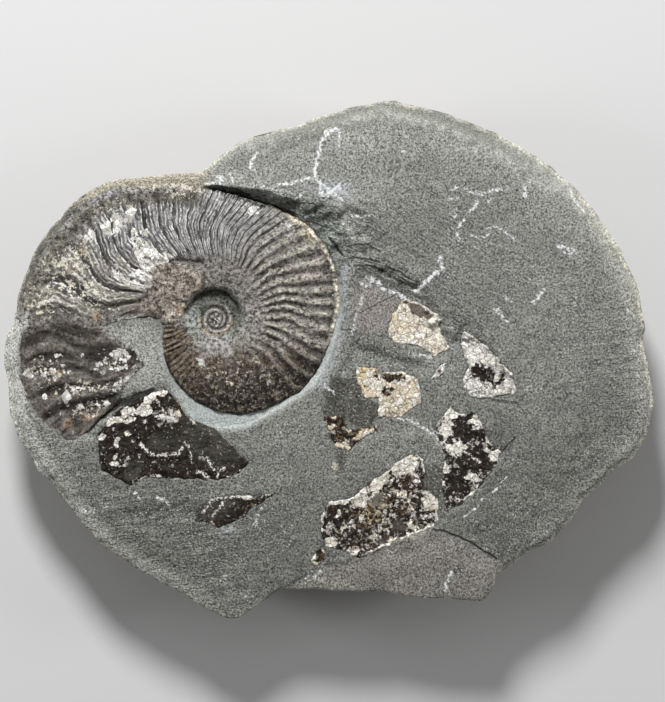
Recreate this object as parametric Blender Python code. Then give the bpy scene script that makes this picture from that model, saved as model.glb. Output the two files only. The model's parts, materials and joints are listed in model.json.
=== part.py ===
"""Ammonite fossil in one half of a split limestone nodule, lying on its back.

The nodule rests on a worn flat patch of its underside, with the split face and the fossil up.
Metres, +Z up, +X along the slab's longer side. The origin is on the resting plane, under the
middle of the slab's outline.

Outlines are traced on a square plan grid laid over the split face: (column, row), with rows
counted from the slab's upper side down. PLAN_STEP is the size of one grid step.
"""

import math

import bmesh
import bpy
import numpy as np
from mathutils import Vector, noise

MM = 0.001
GAP = 0.3 * MM  # clearance between neighbouring pieces

SLAB_LENGTH = 200 * MM
PLAN_COLUMNS = 651  # grid steps along the slab's length
PLAN_STEP = SLAB_LENGTH / PLAN_COLUMNS
PLAN_ORIGIN = np.array((328.5, 359.0))  # the grid point over the origin
SLAB_HUB = np.array((330.0, 360.0))  # the outline is seen whole from this grid point
COIL_HUB = np.array((214.0, 318.0))  # the middle of the ammonite's umbilicus

# Heights above the resting plane.
PLATEAU_HEIGHT = 30.5 * MM
PLATEAU_CROWN = 2.2 * MM
LEFT_DROP = 2.5 * MM  # how much lower the split face is on the fossil's side
RIM_DROP = 7.0 * MM
LEFT_RIM_DROP = 3.2 * MM
RIM_WIDTH = 6.0 * MM
HOLLOW_HEIGHT = 23.5 * MM  # floor of the moat round the coil
MOAT_WALL = 2.2 * MM
CLIFF_WALL = 6.0 * MM
IMPRINT_DEPTH = 2.2 * MM
SHELF_DEPTH = 3.0 * MM
TERRACE_DEPTH = 1.6 * MM
LEDGE_WIDTH = 1.0 * MM
LUMP_HEIGHT = 0.5 * MM
LUMP_SIZE = 16 * MM
CUT_TOP = 45 * MM  # cutters end above everything

# The ammonite. Angles are degrees round the umbilicus from +X, and lengths beside them grid steps.
FOSSIL_FLOOR = 18 * MM
UMBILICUS_RADIUS = 30 * PLAN_STEP
UMBILICUS_FLOOR = 26.0 * MM
COIL_RIDGE = 0.5 * MM
INNER_COILS = 3.2
RIBS = 46  # ribs of the last turn with the body chamber's folds
# The grooves between ribs, counted, and the angles of some of them.
RIB_ANGLES = (
    (0, 11, 12, 15, 18, 21, 23, 29, 30, 34, 37, 39, 42, 43, 44, 45, 46),
    (-137, -27.8, -18.5, 6.1, 25.7, 49.8, 63, 87.3, 92, 120.3, 147.8, 162.3, 187.7, 197.3, 203, 211, 220),
)
RIB_HEIGHT = 1.0 * MM
BODY_FOLDS = 1.6  # the body chamber's folds are this many times as high as ribs
WHORL_EDGE = ((-137, -120, -90, -60, 0, 45, 90, 120, 150, 223),
              (66, 76, 92, 105, 122, 131, 129, 152, 180, 197))
DISC_REACH = ((-137, -125, -110, -90, -60, 0, 45, 90, 105, 120, 150, 180, 223),
              (205, 150, 112, 102, 114, 130, 140, 138, 152, 168, 192, 206, 206))
# How far a rib's line leans forward, in degrees, with a row for each of some angles round the
# umbilicus: on the coil by the part of its reach, on the body chamber by its distance.
COIL_LEAN_AT = (0, 0.3, 0.45, 0.6, 0.8, 1)
COIL_LEAN = {
    -15: (-9, 0, -1.2, -5.5, -7.7, -8.2),
    40: (-6, 0, -1.3, -5, -8.2, -11),
    80: (-8, -2.5, 0.8, 0, -6, -10),
    110: (-7, -2.2, -0.4, -0.2, -5, -10),
    155: (-4, -0.6, 0, -4.5, -14, -16),
}
BODY_LEAN_AT = (0, 41, 66, 110, 137, 165, 200)
BODY_LEAN = {190: (-8, -3, -7, 7, 3, 0, 5), 223: (-8, -3, -9, 13, 4, 0, 1.5)}
FLANK_PROFILE = ((0, 0.12, 0.4, 0.7, 0.9, 1), (29.2, 30.0, 29.8, 28.4, 26.4, 24.4))  # mm by reach
BODY_PROFILE = ((30, 40, 56, 80, 110, 160, 186, 205), (29.0, 29.4, 28.4, 27.6, 27.8, 27.2, 25.4, 23.6))
INNER_RINGS = (0.1, 0.2, 0.33, 0.46, 0.6, 0.75, 0.88, 1.0)  # parts of the umbilicus radius
WHORL_RINGS = 12

# Shell patches.
PATCH_PROUD = 0.45 * MM
PATCH_THICKNESS = 1.4 * MM
PATCH_CELL = 4.2 * MM

SLAB_TRIANGLES = 3250
SLAB_SEGMENTS = 240
SLAB_RINGS = 96
FACE_RINGS = 66  # of SLAB_RINGS, those that lie on the split face

# Back of the nodule below the rim: reach as a part of the outline, height as a part of the rim's.
BACK_PROFILE = ((1.0, 1.0), (0.994, 0.76), (0.968, 0.52), (0.915, 0.29), (0.84, 0.12),
                (0.765, 0.03), (0.70, 0.0), (0.0, 0.0))

SLAB_OUTLINE = (
    (201, 173), (217, 160), (240, 143), (270, 132), (300, 125), (330, 113), (365, 105), (388, 99),
    (415, 106), (460, 118), (500, 136), (540, 159), (575, 187), (602, 222), (622, 253), (636, 284),
    (642, 312), (645, 326), (643, 345), (650, 376), (654, 405), (646, 435), (632, 457), (612, 470),
    (600, 485), (582, 499), (570, 520), (552, 539), (532, 549), (500, 571), (495, 576), (494, 585),
    (486, 598), (479, 601), (440, 597), (380, 590), (320, 588), (280, 588), (258, 604), (238, 618),
    (228, 619), (205, 609), (185, 594), (150, 575), (120, 559), (88, 529), (63, 497), (50, 480),
    (40, 473), (22, 445), (11, 415), (8, 380), (3, 350), (8, 331), (14, 325), (18, 296), (34, 254),
    (50, 230), (70, 206), (90, 191), (116, 179), (150, 177), (190, 173),
)
FOSSIL_OUTLINE = (
    (203, 188), (220, 191), (250, 200), (275, 208), (295, 217), (310, 227), (325, 245), (335, 265),
    (340, 300), (338, 315), (333, 335), (325, 355), (315, 375), (300, 392), (280, 402), (260, 410),
    (240, 415), (215, 410), (195, 400), (180, 385), (170, 370), (165, 355), (162, 340), (165, 325),
    (150, 317), (125, 320), (105, 325), (115, 335), (130, 345), (145, 365), (130, 380), (120, 400),
    (100, 418), (90, 430), (75, 440), (65, 440), (34, 414), (20, 381), (20, 345), (17, 315),
    (25, 291), (36, 263), (49, 241), (71, 214), (91, 199), (116, 188), (149, 185), (175, 182),
)
# The hollow round the coil: the cliff's upper edge, the moat's outer edge, and a way back
# under the fossil.
HOLLOW_OUTLINE = (
    (203, 186), (230, 189), (260, 195), (290, 200), (318, 200), (345, 200), (348, 235), (353, 262),
    (354, 290), (350, 320), (342, 345), (334, 370), (318, 392), (300, 408), (275, 418), (250, 432),
    (225, 436), (200, 425), (180, 408), (165, 385), (155, 365), (150, 345), (160, 320), (180, 280),
    (190, 230),
)
IMPRINT_OUTLINE = (
    (385, 262), (420, 290), (445, 325), (480, 331), (515, 385), (517, 400), (500, 405), (505, 450),
    (500, 462), (470, 500), (440, 525), (400, 541), (350, 558), (311, 570), (289, 585), (250, 560),
    (240, 520), (262, 470), (300, 420), (330, 380), (354, 343), (352, 300), (356, 270),
)
SHELF_OUTLINE = (
    (289, 585), (311, 570), (341, 561), (378, 550), (402, 541), (424, 529), (436, 527), (464, 539),
    (499, 559), (530, 600), (500, 640), (270, 640),
)
TERRACE_OUTLINE = ((345, 200), (366, 214), (380, 236), (386, 264), (352, 264), (330, 230))
SHELL_PATCHES = {
    "shell_patch_below_coil": (
        (166, 389), (150, 394), (133, 402), (117, 411), (108, 423), (100, 433), (99, 455),
        (102, 470), (118, 478), (133, 485), (145, 477), (190, 478), (222, 479), (240, 472),
        (250, 462), (240, 455), (228, 442), (215, 428), (197, 422), (185, 415), (178, 402),
    ),
    "shell_patch_lower_left": (
        (195, 520), (203, 505), (215, 497), (240, 495), (262, 496), (277, 490), (262, 502),
        (250, 508), (245, 516), (235, 520), (218, 527), (210, 522),
    ),
    "shell_patch_cream_upper": (
        (387, 333), (394, 343), (415, 345), (425, 350), (434, 358), (439, 352), (450, 349),
        (442, 336), (437, 321), (438, 315), (427, 308), (411, 300), (404, 299), (392, 316),
    ),
    "shell_patch_cream_middle": (
        (356, 368), (376, 368), (382, 379), (387, 372), (401, 372), (417, 379), (421, 393),
        (420, 403), (409, 410), (401, 417), (378, 417), (379, 398), (366, 398), (359, 385),
    ),
    "shell_patch_brown_middle": (
        (323, 416), (342, 416), (349, 430), (364, 427), (379, 426), (374, 432), (356, 442),
        (349, 451), (337, 447), (331, 437), (327, 427),
    ),
    "shell_patch_white_right": (
        (463, 331), (460, 341), (468, 365), (463, 378), (464, 387), (472, 397), (482, 399),
        (496, 396), (513, 394), (515, 390), (511, 374), (499, 362), (489, 349), (480, 341),
    ),
    "shell_patch_brown_right": (
        (450, 406), (458, 414), (473, 412), (480, 421), (489, 443), (501, 452), (496, 464),
        (487, 476), (479, 487), (463, 502), (446, 511), (442, 485), (444, 459), (440, 443),
        (434, 431), (437, 423), (444, 414),
    ),
    "shell_patch_long_lower": (
        (321, 516), (329, 501), (349, 499), (361, 490), (374, 479), (389, 470), (401, 459),
        (416, 453), (423, 460), (428, 491), (438, 499), (438, 518), (433, 526), (418, 532),
        (398, 539), (379, 548), (359, 557), (344, 549), (327, 546), (321, 534),
    ),
    "shell_chip_bottom": ((321, 547), (328, 556), (317, 566), (311, 561), (314, 554)),
    "shell_chip_right": (
        (446, 362), (440, 366), (434, 374), (431, 380), (438, 378), (445, 370),
    ),
}
STONE = ((0.17, 0.17, 0.155), 0.85)
FOSSIL = ((0.11, 0.10, 0.09), 0.55)
CREAM_SHELL = ((0.50, 0.44, 0.34), 0.45)
WHITE_SHELL = ((0.45, 0.42, 0.37), 0.45)
DARK_SHELL = ((0.035, 0.028, 0.024), 0.35)
BROWN_SHELL = ((0.09, 0.06, 0.04), 0.4)
PATCH_FINISH = {
    "shell_patch_cream_upper": CREAM_SHELL,
    "shell_patch_cream_middle": CREAM_SHELL,
    "shell_patch_white_right": WHITE_SHELL,
    "shell_patch_brown_middle": BROWN_SHELL,
    "shell_patch_brown_right": BROWN_SHELL,
}


def on_plan(points):
    """Metres for points of the plan grid."""
    steps = (np.asarray(points, float) - PLAN_ORIGIN) * PLAN_STEP
    return steps * (1, -1)


def smooth_step(value, start, end):
    share = np.clip((value - start) / (end - start), 0, 1)
    return share * share * (3 - 2 * share)


def depth_inside(where, outline):
    """Distance of each place from a closed outline, positive inside it."""
    corner = on_plan(outline)
    nearest = np.full(len(where), np.inf)
    inside = np.zeros(len(where), bool)
    for start, end in zip(corner, np.roll(corner, -1, axis=0)):
        edge = end - start
        share = np.clip((where - start) @ edge / (edge @ edge), 0, 1)
        away = where - start - share[:, None] * edge
        nearest = np.minimum(nearest, np.hypot(away[:, 0], away[:, 1]))
        crosses = (start[1] > where[:, 1]) != (end[1] > where[:, 1])
        height = np.where(edge[1] == 0, 1, edge[1])
        inside ^= crosses & (where[:, 0] < start[0] + (where[:, 1] - start[1]) * edge[0] / height)
    return np.where(inside, nearest, -nearest)


def lumps(where, size, seed):
    """Smooth unevenness between about -1 and 1."""
    return np.array([noise.noise(Vector((x / size, y / size, seed))) for x, y in where])


def outline_radius(angle, hub, outline):
    """Distance from a hub to an outline that is seen whole from it."""
    ray = on_plan(outline) - on_plan(hub)
    return np.interp(angle, np.arctan2(ray[:, 1], ray[:, 0]), np.hypot(ray[:, 0], ray[:, 1]),
                     period=2 * math.pi)


def face_height(where):
    """Height of the split face at each place."""
    ray = where - on_plan(SLAB_HUB)
    away = np.hypot(ray[:, 0], ray[:, 1])
    edge = outline_radius(np.arctan2(ray[:, 1], ray[:, 0]), SLAB_HUB, SLAB_OUTLINE)
    height = PLATEAU_HEIGHT - PLATEAU_CROWN * (away / edge) ** 2
    column = where[:, 0] / PLAN_STEP + PLAN_ORIGIN[0]
    left = 1 - smooth_step(column, 160, 330)
    height -= LEFT_DROP * left
    height += LUMP_HEIGHT * lumps(where, LUMP_SIZE, 3.0)

    imprint = smooth_step(depth_inside(where, IMPRINT_OUTLINE), 0, 2 * LEDGE_WIDTH)
    height -= IMPRINT_DEPTH * imprint * smooth_step(column, 250, 350)
    height -= SHELF_DEPTH * smooth_step(depth_inside(where, SHELF_OUTLINE), 0, LEDGE_WIDTH)
    height -= TERRACE_DEPTH * smooth_step(depth_inside(where, TERRACE_OUTLINE), 0, LEDGE_WIDTH)

    row = PLAN_ORIGIN[1] - where[:, 1] / PLAN_STEP
    wall = MOAT_WALL + (CLIFF_WALL - MOAT_WALL) * smooth_step(-row, -300, -215)
    hollow = smooth_step(depth_inside(where, HOLLOW_OUTLINE) / wall, 0, 1)
    height += (HOLLOW_HEIGHT - height) * hollow

    rim = 1 - smooth_step((edge - away) / RIM_WIDTH, 0, 1)
    rim_drop = RIM_DROP + (LEFT_RIM_DROP - RIM_DROP) * left
    return height - rim_drop * (1 + 0.35 * lumps(where, LUMP_SIZE, 8.0)) * rim ** 1.5


def body_share(degrees):
    """1 on the crushed body chamber at the left, 0 on the rest of the coil."""
    return smooth_step(degrees, 145, 188) + smooth_step(-degrees, 105, 137)


def coil_reach(away, degrees):
    """Part of the way from the umbilicus edge to the outer edge of the coil."""
    edge = np.interp(degrees, *WHORL_EDGE) * PLAN_STEP
    return np.clip((away - UMBILICUS_RADIUS) / (edge - UMBILICUS_RADIUS), 0, 1)


def lean_between(leans, places, degrees, place):
    """Lean at a place along a rib, blended between the angles for which leans has a row."""
    angles = list(leans)
    rows = [np.interp(place, places, row) for row in leans.values()]
    lean = rows[0]
    for start, end, row in zip(angles, angles[1:], rows[1:]):
        lean = lean + (row - lean) * np.clip((degrees - start) / (end - start), 0, 1)
    return lean


def rib_lean(away, degrees):
    """How far a rib's line leans forward of its spoke at a radius, in radians."""
    coil = lean_between(COIL_LEAN, COIL_LEAN_AT, degrees, coil_reach(away, degrees))
    onward = np.where(degrees < 0, degrees + 360, degrees)
    body = lean_between(BODY_LEAN, BODY_LEAN_AT, onward, away / PLAN_STEP)
    return np.radians(coil + (body - coil) * body_share(degrees))


def fossil_height(away, degrees, ribs):
    """Height of the shell at a radius on a rib's spoke; ribs is 1 on a crest, -1 in a groove."""
    inner = away / UMBILICUS_RADIUS
    coils = COIL_RIDGE * np.cos(inner * INNER_COILS * 2 * math.pi) * (1 - smooth_step(inner, 0.6, 0.9))
    reach = coil_reach(away, degrees)
    flank = np.interp(reach, *FLANK_PROFILE) * MM
    worn_below = 0.6 * (1 - smooth_step(np.abs(degrees + 85), 20, 60))
    coil_ribs = smooth_step(reach, 0.15, 0.35) * (1 - smooth_step(reach, 0.93, 1)) * (1 - worn_below)
    body = np.interp(away / PLAN_STEP, *BODY_PROFILE) * MM
    body_ribs = BODY_FOLDS * smooth_step(away / PLAN_STEP, 80, 115)
    share = body_share(degrees)
    height = flank + (body - flank) * share
    height += RIB_HEIGHT / 2 * ribs * (coil_ribs + (body_ribs - coil_ribs) * share)
    umbilicus = UMBILICUS_FLOOR + coils
    return umbilicus + (height - umbilicus) * smooth_step(inner, 0.82, 1.1)


def close_below(sheet, floor):
    """Turns an open sheet into a solid with upright sides and a flat floor."""
    border = [edge for edge in sheet.edges if edge.is_boundary]
    lowered = bmesh.ops.extrude_edge_only(sheet, edges=border)["geom"]
    for item in lowered:
        if isinstance(item, bmesh.types.BMVert):
            item.co.z = floor
    bmesh.ops.holes_fill(sheet, edges=[edge for edge in sheet.edges if edge.is_boundary])
    bmesh.ops.recalc_face_normals(sheet, faces=sheet.faces)


def finished(name, colour, roughness):
    material = bpy.data.materials.new(name)
    material.use_nodes = True
    shader = material.node_tree.nodes["Principled BSDF"]
    shader.inputs["Base Color"].default_value = (*colour, 1.0)
    shader.inputs["Roughness"].default_value = roughness
    shader.inputs["Metallic"].default_value = 0.0
    return material


def add_part(name, form, parts, finish):
    mesh = bpy.data.meshes.new(name)
    form.to_mesh(mesh)
    form.free()
    mesh.materials.append(finished(name + "_finish", *finish))
    part = bpy.data.objects.new(name, mesh)
    parts.objects.link(part)
    return part


def add_prism(name, outline, floor, widen, cutters):
    """Upright prism of an outline, from a floor to above everything, as a cutter."""
    curve = bpy.data.curves.new(name, "CURVE")
    curve.dimensions = "2D"
    curve.fill_mode = "BOTH"
    curve.extrude = (CUT_TOP - floor) / 2
    corners = widened(on_plan(outline), widen)
    line = curve.splines.new("POLY")
    line.points.add(len(corners) - 1)
    for point, corner in zip(line.points, corners):
        point.co = (corner[0], corner[1], 0, 1)
    line.use_cyclic_u = True
    drawn = bpy.data.objects.new(name + "_curve", curve)
    cutters.objects.link(drawn)
    drawn.location.z = (CUT_TOP + floor) / 2
    bpy.context.view_layer.update()
    mesh = bpy.data.meshes.new_from_object(drawn.evaluated_get(bpy.context.evaluated_depsgraph_get()))
    form = bmesh.new()
    form.from_mesh(mesh)
    bmesh.ops.remove_doubles(form, verts=form.verts, dist=0.01 * MM)
    bmesh.ops.recalc_face_normals(form, faces=form.faces)
    form.to_mesh(mesh)
    form.free()
    prism = bpy.data.objects.new(name, mesh)
    prism.matrix_world = drawn.matrix_world
    bpy.data.objects.remove(drawn)
    cutters.objects.link(prism)
    prism.hide_render = True
    prism.display_type = "WIRE"
    return prism


def widened(corners, by):
    """The outline's corners moved outward, square to the edges that meet there."""
    before = corners - np.roll(corners, 1, axis=0)
    after = np.roll(corners, -1, axis=0) - corners
    x, y = corners.T
    turn = math.copysign(1, np.sum(x * np.roll(y, -1) - np.roll(x, -1) * y))
    normals = [turn * edge[:, ::-1] * (1, -1) / np.hypot(edge[:, 0], edge[:, 1])[:, None]
               for edge in (before, after)]
    middle = normals[0] + normals[1]
    length = np.maximum(np.sum(middle * middle, axis=1), 1)[:, None]
    return corners + by * 2 * middle / length


def combine(part, cutter, operation):
    cut = part.modifiers.new(cutter.name, "BOOLEAN")
    cut.operation = operation
    cut.solver = "EXACT"
    cut.object = cutter


def slab_sheet():
    """A ball whose rings are laid over the split face, round the rim and under the back."""
    ball = bmesh.new()
    bmesh.ops.create_uvsphere(ball, u_segments=SLAB_SEGMENTS, v_segments=SLAB_RINGS, radius=1.0)
    points = np.array([vert.co for vert in ball.verts])
    angle = np.arctan2(points[:, 1], points[:, 0])
    ring = np.arccos(np.clip(points[:, 2], -1, 1)) / math.pi * SLAB_RINGS
    edge = outline_radius(angle, SLAB_HUB, SLAB_OUTLINE)
    hub = on_plan(SLAB_HUB)
    on_face = ring <= FACE_RINGS + 0.5

    profile = np.array(BACK_PROFILE)
    down = (ring - FACE_RINGS) / (SLAB_RINGS - FACE_RINGS) * (len(profile) - 1)
    steps = np.arange(len(profile))
    reach = np.where(on_face, ring / FACE_RINGS, np.interp(down, steps, profile[:, 0]))
    ray = np.stack((np.cos(angle), np.sin(angle)), axis=1)
    where = hub + ray * (reach * edge)[:, None]
    rim = face_height(hub + ray * edge[:, None])
    height = np.where(on_face, face_height(where), rim * np.interp(down, steps, profile[:, 1]))
    for vert, place, z in zip(ball.verts, where, height):
        vert.co = (*place, z)
    return ball


def build_slab(parts):
    ball = slab_sheet()
    bmesh.ops.triangulate(ball, faces=ball.faces)
    share = SLAB_TRIANGLES / len(ball.faces)
    slab = add_part("matrix_slab", ball, parts, STONE)
    thin = slab.modifiers.new("keep the ledges only", "DECIMATE")
    thin.ratio = share
    return slab


def spoked_disc():
    """A disc whose spokes run along the ribs, one on each crest and one in each groove."""
    count = np.arange(2 * RIBS) / 2
    spokes = len(count)
    degrees = np.interp(count, *RIB_ANGLES)
    ribs = np.where(count % 1 > 0, 1.0, -1.0)
    reach = np.interp(degrees, *DISC_REACH) * PLAN_STEP
    whorl_start = INNER_RINGS[-1] * UMBILICUS_RADIUS
    rings = [np.full(spokes, part * UMBILICUS_RADIUS) for part in INNER_RINGS]
    whorl = (np.arange(WHORL_RINGS) + 1) / WHORL_RINGS
    rings += [whorl_start + (reach - whorl_start) * part for part in whorl]

    disc = bmesh.new()
    origin = on_plan(COIL_HUB)
    hub = disc.verts.new((*origin, UMBILICUS_FLOOR + COIL_RIDGE))
    inner = [hub] * spokes
    for away in rings:
        angle = np.radians(degrees) + rib_lean(away, degrees)
        x = origin[0] + away * np.cos(angle)
        y = origin[1] + away * np.sin(angle)
        z = fossil_height(away, degrees, ribs)
        outer = [disc.verts.new(place) for place in zip(x, y, z)]
        for spoke in range(spokes):
            corners = (inner[spoke], outer[spoke], outer[spoke - spokes + 1], inner[spoke - spokes + 1])
            disc.faces.new(dict.fromkeys(corners))
        inner = outer
    return disc


def build_ammonite(parts, cutters):
    disc = spoked_disc()
    close_below(disc, FOSSIL_FLOOR - 2 * MM)
    bmesh.ops.triangulate(disc, faces=disc.faces)
    fossil = add_part("ammonite", disc, parts, FOSSIL)
    combine(fossil, add_prism("ammonite_rim", FOSSIL_OUTLINE, FOSSIL_FLOOR, 0, cutters), "INTERSECT")


def build_patch(name, outline, floor, parts, cutters):
    """A piece of shell: a rock-following sheet, a little proud of the rock, cut to its outline."""
    corners = on_plan(outline)
    low = corners.min(axis=0) - PATCH_CELL
    size = corners.max(axis=0) + PATCH_CELL - low
    cells = np.ceil(size / PATCH_CELL).astype(int)
    sheet = bmesh.new()
    bmesh.ops.create_grid(sheet, x_segments=int(cells[0]), y_segments=int(cells[1]), size=0.5)
    unit = np.array([vert.co.xy for vert in sheet.verts]) + 0.5
    where = low + unit * size
    height = face_height(where) + PATCH_PROUD * (1 + lumps(where, PATCH_CELL * 1.3, 5.0))
    for vert, place, z in zip(sheet.verts, where, height):
        vert.co = (*place, z)
    close_below(sheet, floor - 2 * MM)
    patch = add_part(name, sheet, parts, PATCH_FINISH.get(name, DARK_SHELL))
    combine(patch, add_prism(name + "_rim", outline, floor, 0, cutters), "INTERSECT")


def patch_floor(outline):
    """Height of a piece of shell's flat underside, below the lowest rock along its outline."""
    corners = on_plan(outline)
    middle = corners.mean(axis=0)
    places = np.concatenate([middle + (corners - middle) * part for part in (0.2, 0.6, 1.0)])
    return face_height(places).min() - PATCH_THICKNESS


def new_collection(name):
    collection = bpy.data.collections.new(name)
    bpy.context.scene.collection.children.link(collection)
    return collection


def build():
    for item in list(bpy.data.objects):
        bpy.data.objects.remove(item)
    parts = new_collection("ammonite_fossil")
    cutters = new_collection("cutters")
    slab = build_slab(parts)
    build_ammonite(parts, cutters)
    bed = add_prism("ammonite_bed", FOSSIL_OUTLINE, FOSSIL_FLOOR - GAP, GAP, cutters)
    combine(slab, bed, "DIFFERENCE")
    for name, outline in SHELL_PATCHES.items():
        floor = patch_floor(outline)
        build_patch(name, outline, floor, parts, cutters)
        combine(slab, add_prism(name + "_bed", outline, floor - GAP, GAP, cutters), "DIFFERENCE")


build()
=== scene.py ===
"""Ammonite fossil in a split limestone nodule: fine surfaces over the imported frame.

Places on the split face are (column, row) points of a plan grid: columns run to the right, rows
run down, and STEP is one grid step in metres. Radii and distances are in grid steps too. Heights
are in millimetres above the resting plane until a mesh is made.
"""
import json
import math

import bpy
import numpy as np
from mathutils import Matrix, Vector

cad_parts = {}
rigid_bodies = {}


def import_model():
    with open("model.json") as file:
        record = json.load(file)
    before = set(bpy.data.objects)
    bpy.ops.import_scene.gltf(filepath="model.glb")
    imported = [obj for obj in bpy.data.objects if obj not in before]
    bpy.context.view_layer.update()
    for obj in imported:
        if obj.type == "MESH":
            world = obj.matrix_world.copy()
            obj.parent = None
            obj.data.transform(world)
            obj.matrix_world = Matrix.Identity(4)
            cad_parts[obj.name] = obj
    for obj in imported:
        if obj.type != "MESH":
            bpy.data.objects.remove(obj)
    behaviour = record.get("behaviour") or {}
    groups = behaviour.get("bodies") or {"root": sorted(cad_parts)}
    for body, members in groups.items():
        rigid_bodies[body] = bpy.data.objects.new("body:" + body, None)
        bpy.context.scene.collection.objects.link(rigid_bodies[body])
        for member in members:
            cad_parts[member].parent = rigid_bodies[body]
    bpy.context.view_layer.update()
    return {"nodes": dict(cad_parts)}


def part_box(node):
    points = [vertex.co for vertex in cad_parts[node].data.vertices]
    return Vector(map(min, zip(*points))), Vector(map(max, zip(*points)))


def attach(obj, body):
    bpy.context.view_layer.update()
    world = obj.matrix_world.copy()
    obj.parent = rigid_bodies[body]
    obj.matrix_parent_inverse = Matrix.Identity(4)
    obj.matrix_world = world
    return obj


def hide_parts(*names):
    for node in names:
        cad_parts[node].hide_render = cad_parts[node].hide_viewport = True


for item in list(bpy.data.objects):
    bpy.data.objects.remove(item)
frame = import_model()

MM = 0.001
LOW, HIGH = (np.array(corner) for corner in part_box("matrix_slab"))
SLAB_COLUMNS = 651
STEP = (HIGH[0] - LOW[0]) / SLAB_COLUMNS
PLAN_ORIGIN = (328.5, 359.0)
SLAB_HUB = (330.0, 360.0)
COIL_HUB = (214.0, 318.0)


# ---------------------------------------------------------------- numbers and outlines

def rise(value, start, end):
    """0 up to a start value and 1 from an end value on, with a smooth way between them."""
    share = np.clip((value - start) / (end - start), 0, 1)
    return share * share * (3 - 2 * share)


def fall(value, start, end):
    """1 up to a start value and 0 from an end value on, with a smooth way between them."""
    return 1 - rise(value, start, end)


def mix(low, high, share):
    return low + (high - low) * share


def bell(value, width, power=2):
    """1 where a value is 0, and less on both sides; a high power makes the top flat."""
    return np.exp(-(value / width) ** power)


def band(value, start, full, fade, end):
    """1 from full to fade, 0 outside start and end."""
    return rise(value, start, full) * fall(value, fade, end)


def noise(col, row, size, seed):
    """Gradient noise between about -1 and 1 with features of a size in grid steps."""
    x = np.asarray(col, float) / size + 31.7 * seed
    y = np.asarray(row, float) / size - 17.3 * seed
    cell_x, cell_y = np.floor(x).astype(np.int64), np.floor(y).astype(np.int64)
    part_x, part_y = x - cell_x, y - cell_y
    corners = []
    for step_y in (0, 1):
        for step_x in (0, 1):
            key = (cell_x + step_x) * 374761393 + (cell_y + step_y) * 668265263 + seed * 69069
            key = (key ^ (key >> 13)) * 1274126177 & 0xFFFFFFFF
            angle = (key ^ (key >> 16)) % 4096 / 4096 * 2 * np.pi
            corners.append(np.cos(angle) * (part_x - step_x) + np.sin(angle) * (part_y - step_y))
    blend_x = part_x ** 3 * (part_x * (part_x * 6 - 15) + 10)
    blend_y = part_y ** 3 * (part_y * (part_y * 6 - 15) + 10)
    upper = mix(corners[0], corners[1], blend_x)
    lower = mix(corners[2], corners[3], blend_x)
    return 1.5 * mix(upper, lower, blend_y)


def rough_noise(col, row, size, seed, octaves=3):
    """Noise with finer noise added to it, each octave half the size and 0.55 of the strength."""
    return sum(0.55 ** octave * noise(col, row, size / 2 ** octave, seed + octave)
               for octave in range(octaves))


def patches(col, row, size, seed, start, end, octaves=3):
    """1 in the patches where rough noise is past the end value, 0 where it is below the start."""
    return rise(rough_noise(col, row, size, seed, octaves), start, end)


def shaken(col, row, reach, size, seeds, octaves=1):
    """The same places pushed about by noise, so that outlines through them run ragged."""
    return (col + reach * rough_noise(col, row, size, seeds[0], octaves),
            row + reach * rough_noise(col, row, size, seeds[1], octaves))


def around(hub, col, row):
    """Distance from a hub, and the angle round it in degrees, anticlockwise from the right."""
    x, y = col - hub[0], hub[1] - row
    return np.hypot(x, y), np.degrees(np.arctan2(y, x))


def line_distance(col, row, line, closed=False):
    """Distance to a line of points, the side it is passed on, and how far along it is passed."""
    corner = np.asarray(line, float)
    ends = np.roll(corner, -1, axis=0) if closed else corner[1:]
    starts = corner if closed else corner[:-1]
    best = np.full(col.shape, np.inf)
    side = np.ones(col.shape)
    along = np.zeros(col.shape)
    travelled = 0.0
    for start, end in zip(starts, ends):
        edge = end - start
        length = math.hypot(*edge)
        x, y = col - start[0], row - start[1]
        share = np.clip((x * edge[0] + y * edge[1]) / length ** 2, 0, 1)
        away = np.hypot(x - share * edge[0], y - share * edge[1])
        nearer = away < best
        best = np.where(nearer, away, best)
        side = np.where(nearer, np.sign(edge[0] * y - edge[1] * x), side)
        along = np.where(nearer, travelled + share * length, along)
        travelled += length
    return best, side, along / travelled


def near_line(col, row, line, width):
    """1 on a line of points, less beside it."""
    return bell(line_distance(col, row, line)[0], width)


def depth_inside(col, row, outline):
    """Distance from a closed outline, positive inside it."""
    distance = line_distance(col, row, outline, closed=True)[0]
    corner = np.asarray(outline, float)
    inside = np.zeros(col.shape, bool)
    for start, end in zip(corner, np.roll(corner, -1, axis=0)):
        crosses = (start[1] > row) != (end[1] > row)
        down = end[1] - start[1] if end[1] != start[1] else 1.0
        inside ^= crosses & (col < start[0] + (row - start[1]) * (end[0] - start[0]) / down)
    return np.where(inside, distance, -distance)


def spot(col, row, middle, radius, squash=1.0, turn=0.0):
    """1 at a soft round or oval spot's middle, 0 outside it; it turns clockwise by degrees."""
    x, y = col - middle[0], row - middle[1]
    c, s = math.cos(math.radians(turn)), math.sin(math.radians(turn))
    away = np.hypot(x * c + y * s, (y * c - x * s) / squash)
    return fall(away, radius * 0.4, radius)


def node_faces(name):
    """A node's corners, each place once, and its faces as lists of corners."""
    mesh = frame["nodes"][name].data
    places = np.array([vert.co for vert in mesh.vertices])
    keys = np.round(places / (0.002 * MM)).astype(np.int64)
    first, same = np.unique(keys, axis=0, return_index=True, return_inverse=True)[1:]
    same = same.reshape(-1)
    return places[first], [[int(same[corner]) for corner in face.vertices] for face in mesh.polygons]


def face_edges(face):
    return [tuple(sorted(pair)) for pair in zip(face, face[1:] + face[:1])]


def to_plan(places):
    return np.stack((places[:, 0] / STEP + PLAN_ORIGIN[0], PLAN_ORIGIN[1] - places[:, 1] / STEP), 1)


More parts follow.
